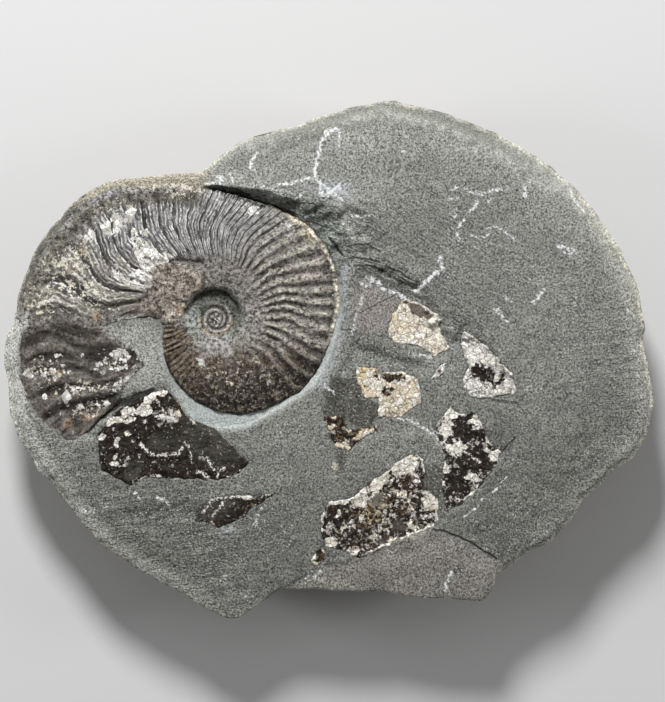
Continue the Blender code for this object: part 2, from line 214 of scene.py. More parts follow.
def node_outline(name):
    """The plan outline of an upright-sided node, read from its flat floor."""
    places, faces = node_faces(name)
    floor = places[:, 2].min() + 0.02 * MM
    edges = {}
    for face in faces:
        if all(places[corner][2] < floor for corner in face):
            for edge in face_edges(face):
                edges[edge] = edges.get(edge, 0) + 1
    follow = {}
    for a, b in (edge for edge, uses in edges.items() if uses == 1):
        follow.setdefault(a, []).append(b)
        follow.setdefault(b, []).append(a)
    first = next(iter(follow))
    walk = [first, follow[first][0]]
    while walk[-1] != first:
        walk.append(next(corner for corner in follow[walk[-1]] if corner != walk[-2]))
    return to_plan(places[walk[:-1]])


def silhouette(name, hub, rays=1440, inner_reach=150):
    """Angles round a hub and the reach of a node's plan outline at each; inner edges are left out."""
    places, faces = node_faces(name)
    plan = to_plan(places) - hub
    x, y = plan[:, 0], -plan[:, 1]
    start, end = np.array(sorted({edge for face in faces for edge in face_edges(face)})).T
    outer = np.maximum(np.hypot(x[start], y[start]), np.hypot(x[end], y[end])) > inner_reach
    start, end = start[outer], end[outer]
    first = np.arctan2(y[start], x[start])
    sweep = (np.arctan2(y[end], x[end]) - first + np.pi) % (2 * np.pi) - np.pi
    ray = (np.arange(rays) + 0.5) / rays * 2 * np.pi
    reach = np.zeros(rays)
    for a, b, from_angle, turn in zip(start, end, first, sweep):
        low, high = sorted((from_angle, from_angle + turn))
        hit = ((ray - low) % (2 * np.pi)) <= high - low
        dx, dy = x[b] - x[a], y[b] - y[a]
        across = np.cos(ray[hit]) * dy - np.sin(ray[hit]) * dx
        across = np.where(np.abs(across) < 1e-9, 1e-9, across)
        reach[hit] = np.maximum(reach[hit], (x[a] * dy - y[a] * dx) / across)
    return ray, reach


SLAB_EDGE = silhouette("matrix_slab", SLAB_HUB)
FOSSIL_OUTLINE = node_outline("ammonite")
PATCH_OUTLINES = {name: node_outline(name) for name in frame["nodes"] if name.startswith("shell_")}


# ---------------------------------------------------------------- the rock's form

# The face's height in mm at its middle, and how far it falls to the rim and to the left.
PLATEAU, CROWN, LEFT_DROP = 30.3, 2.0, 2.5
# How far chips move the rim, as a share of its reach.
RIM_CHIPS = 0.004
# Depths in mm of the beds that broke away.
IMPRINT_DEPTH, SHELF_DEPTH, TERRACE_DEPTH = 1.8, 0.5, 1.0
# The height of the fossil's bed and the depth of the shell pieces' beds, in mm.
FOSSIL_BED, PATCH_BED = 20.0, 0.7
# The nodule's back from rim to floor: share of the rim's reach and share of its height.
BACK_PROFILE = (
    (1.0, 1.0), (0.998, 0.93), (0.994, 0.78), (0.98, 0.6), (0.955, 0.44), (0.915, 0.29), (0.87, 0.17),
    (0.82, 0.08), (0.765, 0.03), (0.72, 0.006), (0.69, 0.0),
)
# The rim by angle round the slab: how far it drops in mm and how wide it is in steps.
RIM_FORM = (
    (-180, 3.0, 16), (-165, 2.6, 15), (-148, 1.2, 7), (-120, 0.6, 4), (-95, 0.5, 4), (-60, 0.7, 5),
    (-30, 1.4, 7), (0, 3.0, 12), (30, 4.2, 16), (55, 5.5, 22), (80, 5.5, 26), (102, 3.0, 14),
    (122, 1.8, 8), (150, 2.0, 9), (170, 2.8, 14), (180, 3.0, 16),
)
# The hollow round the coil by angle: the height of its floor in mm and its wall's width in steps.
HOLLOW_FORM = (
    (-180, 27.2, 5), (-137, 26.8, 5), (-115, 26.2, 5), (-90, 25.9, 6), (-45, 26.0, 5), (0, 26.4, 4),
    (12, 26.2, 8), (20, 25.9, 15), (31, 25.5, 28), (40, 25.3, 32), (48, 25.0, 28), (54, 24.6, 20),
    (60, 24.3, 13), (70, 24.2, 8), (83, 24.6, 5), (100, 25.5, 3), (120, 27.0, 4), (180, 27.2, 5),
)
# The cliff's upper edge, the moat's outer edge, and a way back under the fossil.
HOLLOW_OUTLINE = (
    (203, 186), (230, 187), (260, 189), (285, 193), (305, 195), (322, 198), (336, 206), (345, 219),
    (350, 235), (350, 254), (346, 270), (345, 290), (344, 310), (341, 330), (336, 350), (330, 366),
    (318, 386), (297, 402), (275, 415), (258, 425), (245, 431), (222, 432), (205, 430), (194, 426),
    (183, 412), (171, 395), (162, 373), (156, 350), (160, 320), (180, 280), (190, 230),
)
IMPRINT_OUTLINE = (
    (385, 262), (420, 290), (445, 325), (480, 331), (515, 385), (517, 400), (500, 405), (505, 450),
    (500, 462), (470, 500), (440, 525), (400, 541), (350, 558), (311, 570), (289, 585), (250, 560),
    (240, 520), (262, 470), (300, 420), (330, 380), (354, 343), (352, 300), (356, 270),
)
SHELF_OUTLINE = (
    (289, 585), (311, 570), (341, 561), (378, 550), (402, 541), (424, 529), (436, 527), (464, 539),
    (499, 559), (530, 600), (500, 640), (270, 640),
)
TERRACE_OUTLINE = ((345, 204), (366, 214), (380, 236), (386, 264), (352, 264), (330, 230))
# Soft grooves and small steps: points, half width in steps, depth in mm.
GROOVES = (
    (((354, 343), (363, 350), (380, 356), (401, 362), (421, 367)), 5, 0.8),
    (((345, 240), (362, 237), (376, 242), (385, 263)), 4, 0.5),
    (((347, 262), (368, 265), (386, 273), (400, 283), (414, 292)), 4, 0.3),
    (((414, 290), (432, 305), (450, 320), (478, 330)), 6, 0.5),
    (((165, 388), (140, 395), (120, 403), (95, 418), (88, 432)), 3, 0.7),
    (((130, 513), (160, 508), (200, 505)), 4, 0.5), (((490, 399), (505, 401), (520, 404)), 4, 0.4),
    (((360, 205), (372, 225), (392, 246), (420, 262)), 5, 0.4),
    (((345, 285), (366, 296), (372, 318), (368, 338)), 5, 0.4),
)


def crags(col, row, size, seed):
    """Sharp-edged relief of broken rock, between about -1 and 1."""
    return 1 - 2.4 * np.abs(rough_noise(col, row, size, seed))


def slab_edge(turn):
    """Reach of the slab's plan outline at an angle in radians."""
    return np.interp(turn, *SLAB_EDGE, period=2 * np.pi)


def slab_place(col, row):
    """Distance from the slab's hub, how far the chipped rim is that way, and the angle in degrees."""
    away, degrees = around(SLAB_HUB, col, row)
    turn = np.radians(degrees)
    chips = rough_noise(300 * np.cos(turn), 300 * np.sin(turn), 30, 41, 4)
    return away, slab_edge(turn) * (1 + RIM_CHIPS * chips), degrees


def by_angle(degrees, form):
    """The two numbers of a form at each angle."""
    angles, first, second = zip(*form)
    return np.interp(degrees, angles, first), np.interp(degrees, angles, second)


def ripple_share(col, row):
    """1 in the lower left of the face, where the split runs in low ripples."""
    return fall(col, 220, 300) * rise(row, 400, 440)


def hollow_form(col, row):
    """Floor height and wall width of the hollow round the coil."""
    return by_angle(around(COIL_HUB, col, row)[1], HOLLOW_FORM)


def crowned_face(col, row, away, edge):
    """The gently crowned split face with its swells and ripples."""
    height = PLATEAU - CROWN * (away / edge) ** 2 - LEFT_DROP * fall(col, 160, 330)
    height += 0.45 * noise(col, row, 52, 3) + 0.2 * rough_noise(col, row, 24, 7)
    height += 0.07 * rough_noise(col, row, 6, 11, 2)
    return height + 0.22 * ripple_share(col, row) * rough_noise(col * 0.3, row + 0.06 * col, 8, 15, 2)


def missing_beds(col, row, jag_col, jag_row):
    """How far the beds that broke away lie below the face, with their ledges and grooves."""
    scarp = np.maximum(spot(col, row, (385, 270), 60, 0.6, 35), spot(col, row, (450, 325), 50, 0.6, 35))
    ledges = scarp * 7 * crags(col * 0.7 + row * 0.5, row * 1.4 - col, 20, 25)
    imprint = depth_inside(jag_col, jag_row, IMPRINT_OUTLINE) + ledges
    imprint = rise(imprint / mix(6, 16, scarp), -0.2, 0.9)
    depth = IMPRINT_DEPTH * imprint * rise(col, 318, 392)
    shelf = rise(depth_inside(jag_col, jag_row, SHELF_OUTLINE), -1, 2)
    depth += SHELF_DEPTH * shelf * mix(1, 0.25, rise(col, 405, 435))
    depth += TERRACE_DEPTH * rise(depth_inside(jag_col, jag_row, TERRACE_OUTLINE), -1, 3)
    for line, width, groove in GROOVES:
        depth += groove * near_line(jag_col, jag_row, line, width)
    hackly = np.maximum(spot(col, row, (362, 240), 52), 0.7 * spot(col, row, (400, 275), 46, 0.5, 40))
    return depth - hackly * 0.35 * crags(col * 0.8, row, 15, 23)


def rock_face(col, row):
    """Height of the split face, with the hollow round the coil and the steps of broken beds."""
    away, edge, degrees = slab_place(col, row)
    jag_col, jag_row = shaken(col, row, 2.2, 16, (5, 6), 4)
    height = crowned_face(col, row, away, edge) - missing_beds(col, row, jag_col, jag_row)

    floor, wall = hollow_form(col, row)
    broken = rise(wall, 6, 12)
    jag = broken * 1.4
    depth = depth_inside(mix(col, jag_col, jag), mix(row, jag_row, jag), HOLLOW_OUTLINE)
    share = np.clip(depth / wall, 0, 1)
    hollow = mix(share, rise(share, 0, 1), 0.5)
    height += (floor - height) * hollow
    height += broken * 2.4 * hollow * (1 - hollow) * crags(col * 0.6 + row * 0.3, row, 15, 21)

    drop, width = by_angle(degrees, RIM_FORM)
    rim = fall((edge - away) / width, 0, 1)
    return height - drop * (1 + 0.35 * rough_noise(col, row, 40, 8)) * rim ** 1.6


def notch_share(col, row, radius):
    """1 round the notch where rock shows between the coil and the body chamber."""
    return spot(col, row, (134, 350), radius) * fall(col, 158, 168)


def thin_edge(col, row):
    """1 where the shell thins out over the rock: round the notch and along the upper left margin."""
    margin = fall(col, 205, 225) * fall(row, 330, 350)
    margin *= rise(around(COIL_HUB, col, row)[0], 105, 120)
    return np.maximum(np.minimum(notch_share(col, row, 66) * 2, 1), margin)


def with_beds(col, row, height):
    """The rock's height with the deep bed of the fossil and the shallow beds of the shell pieces."""
    depth = depth_inside(col, row, FOSSIL_OUTLINE) - 3 * thin_edge(col, row)
    height = mix(height, np.minimum(height, FOSSIL_BED), rise(depth, 0, 3))
    for outline in PATCH_OUTLINES.values():
        height = height - PATCH_BED * rise(depth_inside(col, row, outline), -1, 2)
    return height


# ---------------------------------------------------------------- the ammonite's form

# The umbilicus' radius, and its floor's height in mm.
UMBILICUS, UMBILICUS_FLOOR = 30.0, 27.2
# The innermost whorls: their middle, their reach, and how much each turn widens them.
NUCLEUS, NUCLEUS_REACH, WHORL_GROWTH = (216.2, 319.3), 14.5, 1.8
# The angle at which the first and the last spoke of the sheet meet.
COIL_START = -137
# Reach of the outer whorl and of the whole sheet by angle round the coil.
WHORL_EDGE = (
    (-137, -120, -90, -60, 0, 45, 90, 120, 150, 223), (66, 76, 92, 105, 122, 131, 129, 152, 180, 197),
)
SHEET_REACH = (
    (-137, -125, -110, -90, -60, 0, 45, 90, 105, 120, 150, 180, 223),
    (205, 150, 112, 102, 114, 130, 140, 138, 152, 168, 192, 206, 206),
)
# Heights in mm over the whorl's flank by share of its reach, and over the body chamber by reach.
FLANK_PROFILE = (
    (0, 0.05, 0.14, 0.4, 0.7, 0.88, 0.96, 1), (28.9, 29.7, 30.0, 29.8, 28.7, 27.4, 26.6, 25.8),
)
BODY_PROFILE = ((30, 40, 56, 80, 110, 160, 186, 205), (29.0, 29.4, 28.4, 27.6, 27.8, 27.2, 25.4, 23.6))
# Grooves between ribs counted round the coil, and the angles at which some counts fall.
RIB_COUNT = (
    (-137, -27.8, -18.5, 6.1, 25.7, 49.8, 63, 87.3, 92, 120.3, 147.8, 162.3, 187.7, 197.3, 203, 211, 220,
     223),
    (0, 11, 12, 15, 18, 21, 23, 29, 30, 34, 37, 39, 42, 43, 44, 45, 46, 46.4),
)
# How far a rib's line leans forward, in degrees, by angle round the coil and part of its reach.
LEAN_REACH = (0, 0.15, 0.3, 0.45, 0.6, 0.75, 0.88, 1)
COIL_LEAN = {
    -105: (-9, -4, 0, -1, -2.5, -4, -5, -5), -60: (-9, -4, 0, -1.2, -4.5, -6.5, -7, -7),
    -15: (-9, -4, 0, -1.2, -5.5, -7.5, -7.9, -8.2), 15: (-6, -2, 0, -0.5, -4.5, -7.2, -7.9, -8.3),
    40: (-6, -2, 0, -1.3, -5, -7.5, -9.5, -11), 80: (-8, -6, -2.5, 0.8, 0, -4.8, -7.7, -10),
    103: (-8, -6, -2, 0, -0.5, -5.5, -8.5, -11), 117: (-6, -4, -2.4, -0.8, 0, -2.8, -6, -9),
    155: (-4, -2, -0.6, 0, -4.5, -13.5, -15, -16),
}
BODY_LEAN_RADIUS = (0, 30, 41, 66, 110, 137, 160, 185, 200)
BODY_LEAN = {190: (-8, -5, -3, -7, 7, 3, 0, 4, 5), 223: (-8, -5, -3, -9, 13, 4, 0, 1, 1.5)}
# Furrows between the lobes of the crushed body chamber: points and depth in mm.
FURROWS = (
    (((46, 317), (60, 321), (73, 328), (88, 334), (101, 336)), 0.8),
    (((24, 342), (30, 337), (38, 334), (50, 334), (66, 340), (78, 347), (92, 350)), 0.9),
    (((22, 365), (28, 361), (38, 357), (52, 355), (68, 356), (80, 360)), 0.8),
    (((30, 379), (36, 371), (46, 368), (64, 369), (82, 370), (97, 376), (108, 378)), 0.9),
    (((38, 398), (46, 393), (58, 387), (75, 388), (95, 387), (111, 383), (125, 378)), 1.0),
    (((46, 421), (60, 412), (76, 405), (98, 402), (121, 395)), 1.1),
    (((62, 440), (70, 429), (84, 419), (96, 412)), 0.8),
)
# Cracks through the shell: depth in mm and points.
CRACKS = (
    (0.9, ((149, 267), (157, 263), (166, 262), (180, 260), (192, 261), (203, 262))),
    (0.8, ((140, 318), (150, 316), (158, 319))),
    (0.3, ((163, 323), (172, 325), (178, 323), (181, 317), (185, 311), (190, 304), (197, 297), (205, 292),
     (213, 290), (222, 291), (230, 296), (236, 303), (239, 311))),
    (0.4, ((150, 268), (147, 278), (151, 288), (146, 297), (138, 303))),
)
CRUSHED_OUTLINE = (
    (150, 266), (163, 264), (178, 265), (195, 268), (208, 276), (206, 286), (197, 293), (189, 302),
    (183, 311), (178, 321), (170, 324), (158, 318), (148, 315), (137, 317), (128, 312), (136, 303),
    (146, 297), (151, 288), (148, 277),
)


def body_share(degrees):
    """1 on the crushed body chamber at the left, 0 on the rest of the coil."""
    return rise(degrees, 145, 188) + np.clip((-degrees - 105) / 32, 0, 1)


def coil_reach(away, degrees):
    """Share of the way from the umbilicus to the outer whorl's edge."""
    edge = np.interp(degrees, *WHORL_EDGE)
    return np.clip((away - UMBILICUS) / (edge - UMBILICUS), 0, 1)


def rib_lean(away, degrees):
    """How far a rib's line leans forward, in degrees."""
    reach = coil_reach(away, degrees)
    rows = np.array([np.interp(reach, LEAN_REACH, row) for row in COIL_LEAN.values()])
    between = np.interp(degrees, list(COIL_LEAN), np.arange(len(COIL_LEAN)))
    lower = np.minimum(between.astype(int), len(COIL_LEAN) - 2)
    pick = np.indices(lower.shape)
    coil = mix(rows[(lower, *pick)], rows[(lower + 1, *pick)], between - lower)
    first, last = (np.interp(away, BODY_LEAN_RADIUS, row) for row in BODY_LEAN.values())
    body = mix(first, last, np.where(degrees < 0, 1, rise(degrees, 190, 223)))
    return mix(coil, body, body_share(degrees))


def rib_strength(away, degrees, col, row):
    """How strongly ribs show: full on the right, fading below the umbilicus and at the left margin."""
    reach = coil_reach(away, degrees)
    top = rise(degrees, 45, 80)
    start = mix(0.22, 0.3, top)
    coil = rise(reach, start - mix(0.08, 0.02, top), start + mix(0.12, 0.04, top))
    coil *= 1 - 0.85 * fall(np.abs(degrees + 88), 30, 66)
    coil *= fall(reach, 0.94, 1)
    coil *= 1 - 0.35 * rise(degrees, 118, 140) * rise(away, 140, 165)
    coil *= 0.8 + 0.35 * rough_noise(col, row, 20, 33)
    body = band(away, 66, 84, 168, 190) * fall(row, 304, 320)
    inner = band(away, 40, 43, 56, 60) * rise(row, 322, 330) * 0.6
    return np.clip(mix(coil, np.maximum(body, inner), body_share(degrees)), 0, 1)


def rib_wave(count, broad, body):
    """1 on a rib and 0 in the groove between ribs; broad ribs have narrow grooves."""
    middle = 1 - np.abs(count % 1 - 0.5) * 2
    return rise(middle, 0.22 * body, mix(0.85, 0.38, broad) + 0.12 * body)


def furrow_depth(col, row):
    """Depth in mm of the furrows between lobes, and how near the closest one is (1 in it)."""
    wavy = shaken(col, row, 1.6, 16, (95, 97), 3)
    depth = np.zeros(col.shape)
    near = np.zeros(col.shape)
    for line, deep in FURROWS:
        distance, side, along = line_distance(*wavy, line)
        ends = band(along, 0, 0.06, 0.9, 1)
        narrow = bell(distance, np.where(side > 0, 1.6, 4.0))
        depth = np.maximum(depth, deep * narrow * (0.4 + 0.6 * ends))
        ragged = np.maximum(distance - 0.9 + 1.1 * rough_noise(col, row, 7, 119, 2), 0)
        near = np.maximum(near, bell(ragged, 2.2) * (0.3 + 0.7 * ends))
    return depth, near


def crushed_share(col, row):
    """1 on the crushed piece of shell between the umbilicus and the body chamber."""
    return rise(depth_inside(*shaken(col, row, 2, 9, (96, 99)), CRUSHED_OUTLINE), -1.5, 2)


def nucleus_coils(col, row):
    """Distance from the innermost whorls' middle, and 1 on a whorl's crest and 0 between whorls."""
    away, degrees = around(NUCLEUS, col, row)
    whorl = np.log(np.maximum(away, 1.2) / NUCLEUS_REACH) / math.log(WHORL_GROWTH) - degrees / 360
    return away, 0.5 + 0.5 * np.cos(2 * np.pi * whorl)


class Sheet:
    """The corners of the fossil's sheet, and the shares that its relief and its colours follow."""

    def __init__(self, away, degrees, count, col, row):
        self.away, self.degrees, self.count, self.col, self.row = away, degrees, count, col, row
        self.depth = depth_inside(col, row, FOSSIL_OUTLINE)
        self.body = body_share(degrees)
        self.coil = 1 - self.body
        self.top = rise(degrees, 45, 80)
        self.ragged_count = count + 0.12 * noise(col, row, 20, 31) + 0.07 * noise(col, row, 6, 32)
        self.ribs = rib_wave(self.ragged_count, mix(self.top, 0.5, self.body), self.body)
        self.strength = rib_strength(away, degrees, col, row)
        self.furrow, self.near_furrow = furrow_depth(col, row)
        self.crushed = crushed_share(col, row)
        # The worn band between the ribs' ends and the upper left margin.
        self.mottled = fall(self.depth, 15, 24) * band(degrees, 98, 108, 165, 185)


def umbilicus_floor(sheet, granular):
    """Height of the umbilicus, with the inner coils standing on its floor."""
    nucleus, coils = nucleus_coils(sheet.col, sheet.row)
    crest = (0.4 + 0.05 * nucleus) * (coils - 0.4) * fall(nucleus, 15, 19)
    floor = UMBILICUS_FLOOR + crest
    floor -= 0.6 * rise(nucleus, 15, 20) * fall(sheet.row, 312, 325)
    floor += 1.1 * rise(nucleus, 17, 26) * rise(sheet.row, 318, 330)
    return floor + 0.08 * granular


def sheet_height(sheet):
    """Height of the shell's own relief in mm."""
    away, col, row, strength = sheet.away, sheet.col, sheet.row, sheet.strength
    reach = coil_reach(away, sheet.degrees)
    height = mix(np.interp(reach, *FLANK_PROFILE), np.interp(away, *BODY_PROFILE), sheet.body)
    height += mix(mix(1.0, 0.7, sheet.top), 1.0, sheet.body) * (sheet.ribs - 0.6) * strength
    silver = sheet.top * sheet.coil * strength
    height += 0.09 * silver * np.cos(2 * np.pi * 4 * sheet.ragged_count)
    granular = rough_noise(col, row, 5, 35)
    height += mix(0.26, 0.05, silver) * granular + 0.35 * rough_noise(col, row, 26, 37) - sheet.furrow
    wavy = shaken(col, row, 1, 8, (91, 92))
    for depth, line in CRACKS:
        height -= depth * near_line(*wavy, line, 1.6)
    height += sheet.crushed * (0.25 + 0.3 * rough_noise(col, row, 9, 98))
    overhang = fall(row, 305, 330)
    uneven = away + 1.5 * noise(col, row, 12, 39)
    wall = rise(uneven, mix(22.0, 28.0, overhang), mix(32.0, 30.5, overhang))
    return mix(umbilicus_floor(sheet, granular), height, wall)


# ---------------------------------------------------------------- meshes

def to_metres(col, row, height):
    return np.stack(((col - PLAN_ORIGIN[0]) * STEP, (PLAN_ORIGIN[1] - row) * STEP, height * MM), -1)


def make_piece(name, places, faces, marks, finish, node):
    """A closed smooth mesh with its painted marks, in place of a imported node."""
    mesh = bpy.data.meshes.new(name)
    mesh.from_pydata(places, [], faces)
    for mark, values in marks.items():
        # Corners that were added below the surface take the last corner's mark.
        values = np.concatenate((values, np.repeat(values[-1:], len(places) - len(values), axis=0)))
        if values.ndim == 2:
            layer = mesh.attributes.new(mark, "FLOAT_COLOR", "POINT")
            layer.data.foreach_set("color", np.insert(values, 3, 1.0, axis=1).ravel())
        else:
            layer = mesh.attributes.new(mark, "FLOAT", "POINT")
            layer.data.foreach_set("value", values)
    mesh.shade_smooth()
    mesh.materials.append(finish)
    piece = bpy.data.objects.new(name, mesh)
    bpy.context.scene.collection.objects.link(piece)
    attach(piece, "root")
    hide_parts(node)


def ring_faces(outer, inner):
    """Quads between two loops of corners that run the same way round."""
    return np.stack((outer, np.roll(outer, -1), np.roll(inner, -1), inner), axis=1)


def grid_faces(index):
    """Quads of a grid of corners whose rows are counted down and columns to the right."""
    return np.stack((index[1:, :-1], index[1:, 1:], index[:-1, 1:], index[:-1, :-1]), -1).reshape(-1, 4)


def grid_rim(index):
    """The corners round a grid's border, anticlockwise seen from above."""
    return np.concatenate((index[-1, :-1], index[:0:-1, -1], index[0, :0:-1], index[:-1, 0]))


def close_below(places, faces, rim, floor):
    """Adds upright walls from a rim down to a flat floor in mm."""
    lower = places[rim].copy()
    lower[:, 2] = floor * MM
    low = np.arange(len(rim)) + len(places)
    walls = ring_faces(low, rim)
    return np.concatenate((places, lower)), [*faces.tolist(), *walls.tolist(), low[::-1].tolist()]


# ---------------------------------------------------------------- colours

def tone(red, green, blue):
    """Linear colour of a screen colour given in 0 to 255."""
    part = np.array((red, green, blue)) / 255
    return np.where(part <= 0.04045, part / 12.92, ((part + 0.055) / 1.055) ** 2.4)


class Coat:
    """The colours of a surface's corners, painted over one another."""

    def __init__(self, shade, count):
        self.colour = np.tile(shade, (count, 1))

    def over(self, shade, share):
        self.colour += (shade - self.colour) * share[:, None]

    def times(self, factor):
        self.colour *= factor[:, None]


ROCK_GREY = tone(123, 124, 119)
ROCK_DARK = tone(103, 104, 99)
ROCK_LIGHT = tone(150, 151, 146)
ROCK_PALE = tone(176, 176, 170)
SHELF_BROWN = tone(122, 119, 112)
BROWN_GREY = tone(91, 89, 84)
BUFF_GREY = tone(170, 166, 146)
CLIFF_GREY_AND_SHADE = tone(99, 103, 98)
BEVEL_GREY = tone(119, 120, 112)
MOAT_PALE = tone(172, 178, 176)
PAINTED_EDGE_HIGHLIGHT = tone(200, 196, 182)
PAINTED_RIM_LIGHT = tone(164, 163, 154)
CRUST_BROWN = tone(128, 116, 98)
FILM_DARK = tone(78, 77, 72)
FILM_PURPLE = tone(138, 132, 128)
HAZE_BLUE = tone(186, 192, 200)
SHELL_GREY = tone(124, 121, 116)
SHELL_BROWN = tone(88, 76, 64)
SHELL_DARK = tone(40, 34, 30)
SHELL_SILVER = tone(124, 123, 124)
SILVER_LINE = tone(205, 205, 204)
FLANK_PALE = tone(143, 138, 130)
CRUSHED_BROWN = tone(140, 130, 121)
FILL_GREY = tone(128, 131, 126)
LILAC_GREY = tone(134, 131, 130)
GRANULAR_GREY = tone(110, 106, 102)
LOBE_GREY = tone(98, 93, 87)
LOBE_PALE = tone(160, 152, 144)
KEEL_PALE = tone(226, 218, 200)
KEEL_BUFF = tone(186, 170, 136)
MARGIN_DARK = tone(66, 65, 58)
MARGIN_BROWN = tone(104, 100, 91)
MARGIN_BUFF = tone(158, 152, 137)
WARM_BROWN = tone(112, 98, 82)
OCHRE = tone(160, 132, 102)
OVERHANG_SHADE_OLIVE = tone(70, 72, 64)
WHORL_PALE = tone(186, 184, 178)
RING_BUFF = tone(170, 156, 134)


# ---------------------------------------------------------------- the rock's colours

# White veins in the rock: how whole they are, and points.
VEINS = (
    (1.1, ((331, 130), (322, 141), (319, 149), (318, 160), (315, 169), (315, 176), (320, 185),
     (322, 195))),
    (0.9, ((326, 132), (336, 130), (341, 133))), (0.6, ((340, 131), (339, 142), (338, 153))),
    (0.8, ((277, 185), (292, 184), (304, 180), (314, 177))), (0.9, ((295, 198), (303, 195), (306, 186))),
    (0.7, ((258, 153), (252, 160), (250, 168), (255, 172))), (0.9, ((216, 175), (224, 178), (217, 184))),
    (0.8, ((206, 184), (214, 183), (222, 184))), (0.7, ((230, 173), (233, 182))),
    (0.6, ((248, 187), (262, 186), (272, 191), (284, 196), (296, 197))),
    (0.9, ((324, 186), (332, 194), (342, 200))), (1.0, ((326, 196), (336, 188), (345, 184))),
    (0.6, ((401, 152), (406, 152))), (0.7, ((451, 191), (457, 187), (467, 190))),
    (0.95, ((466, 190), (474, 193), (485, 195))), (0.8, ((489, 192), (495, 190), (501, 191))),
    (0.65, ((449, 199), (459, 199))), (0.8, ((477, 202), (474, 207), (469, 212))),
    (0.6, ((487, 203), (491, 200))), (0.65, ((457, 210), (454, 217))),
    (0.75, ((464, 219), (458, 227), (456, 234), (459, 241))),
    (0.5, ((466, 235), (476, 237), (486, 237), (490, 232))),
    (0.55, ((486, 229), (496, 227), (505, 233), (515, 240))), (1.0, ((524, 188), (524, 197))),
    (0.9, ((557, 247), (566, 248), (575, 253))), (0.7, ((560, 252), (570, 254))),
    (1.2, ((440, 257), (440, 266), (443, 271), (435, 273), (427, 280), (418, 290), (413, 292))),
    (0.9, ((532, 303), (536, 298), (539, 294))), (0.9, ((536, 299), (541, 292), (543, 289))),
    (0.9, ((493, 309), (500, 314), (507, 322))), (0.8, ((504, 297), (510, 301))),
    (0.7, ((494, 310), (499, 309))), (0.8, ((570, 189), (572, 196), (576, 202), (584, 212))),
    (0.5, ((625, 308), (633, 316))), (0.8, ((358, 271), (367, 277), (375, 280), (366, 286), (360, 283))),
    (1.2, ((376, 281), (384, 289), (397, 294), (412, 303), (426, 310), (439, 319))),
    (0.6, ((357, 308), (354, 325), (352, 335))), (0.6, ((362, 296), (359, 310))),
    (0.7, ((322, 382), (328, 388), (334, 393))), (0.6, ((352, 216), (362, 218), (370, 215))),
    (0.6, ((344, 239), (353, 239))), (0.75, ((397, 417), (415, 423), (433, 434), (441, 442), (443, 452))),
    (0.5, ((506, 477), (499, 486), (482, 499), (476, 507), (463, 516))),
    (0.85, ((262, 507), (258, 515), (255, 525))), (0.6, ((323, 566), (318, 574), (305, 582))),
    (0.5, ((312, 570), (306, 577), (322, 580))), (0.85, ((452, 571), (447, 580), (445, 590))),
    (0.8, ((130, 488), (135, 492), (140, 499))), (0.85, ((158, 497), (165, 500), (170, 505))),
    (0.8, ((78, 509), (84, 511), (94, 511))), (0.5, ((251, 590), (243, 597))),
    (0.6, ((420, 354), (431, 357))), (0.8, ((175, 404), (183, 416), (191, 425))),
)
# White lines on the pieces of shell.
SHELL_VEINS = (
    (0.8, ((141, 444), (149, 453), (158, 455), (178, 454), (183, 448))),
    (1.0, ((134, 483), (141, 481), (146, 477), (160, 476))), (0.9, ((197, 471), (203, 473), (209, 478))),
    (0.8, ((218, 476), (219, 471), (224, 468))), (0.9, ((228, 477), (236, 475), (241, 471))),
    (0.8, ((201, 458), (208, 458), (210, 464), (214, 469))), (0.5, ((184, 441), (189, 446), (192, 462))),
    (0.5, ((156, 398), (166, 414), (172, 428))),
    (0.6, ((203, 512), (212, 500), (226, 497), (222, 505), (212, 516))),
    (0.9, ((228, 497), (240, 494), (252, 498))), (0.6, ((184, 408), (190, 417), (195, 424))),
    (0.6, ((434, 420), (446, 437), (438, 452))), (1.1, ((424, 492), (438, 492), (437, 514), (422, 517))),
    (0.7, ((421, 509), (430, 500), (437, 493))), (0.6, ((380, 478), (372, 496), (360, 505))),
    (0.6, ((392, 468), (402, 490))), (0.8, ((477, 334), (470, 352), (480, 366))),
    (0.6, ((440, 446), (462, 450), (480, 462))),
    (1.2, ((378, 283), (390, 291), (405, 298), (420, 303), (437, 316))),
    (0.8, ((436, 317), (431, 324), (439, 334))),
)
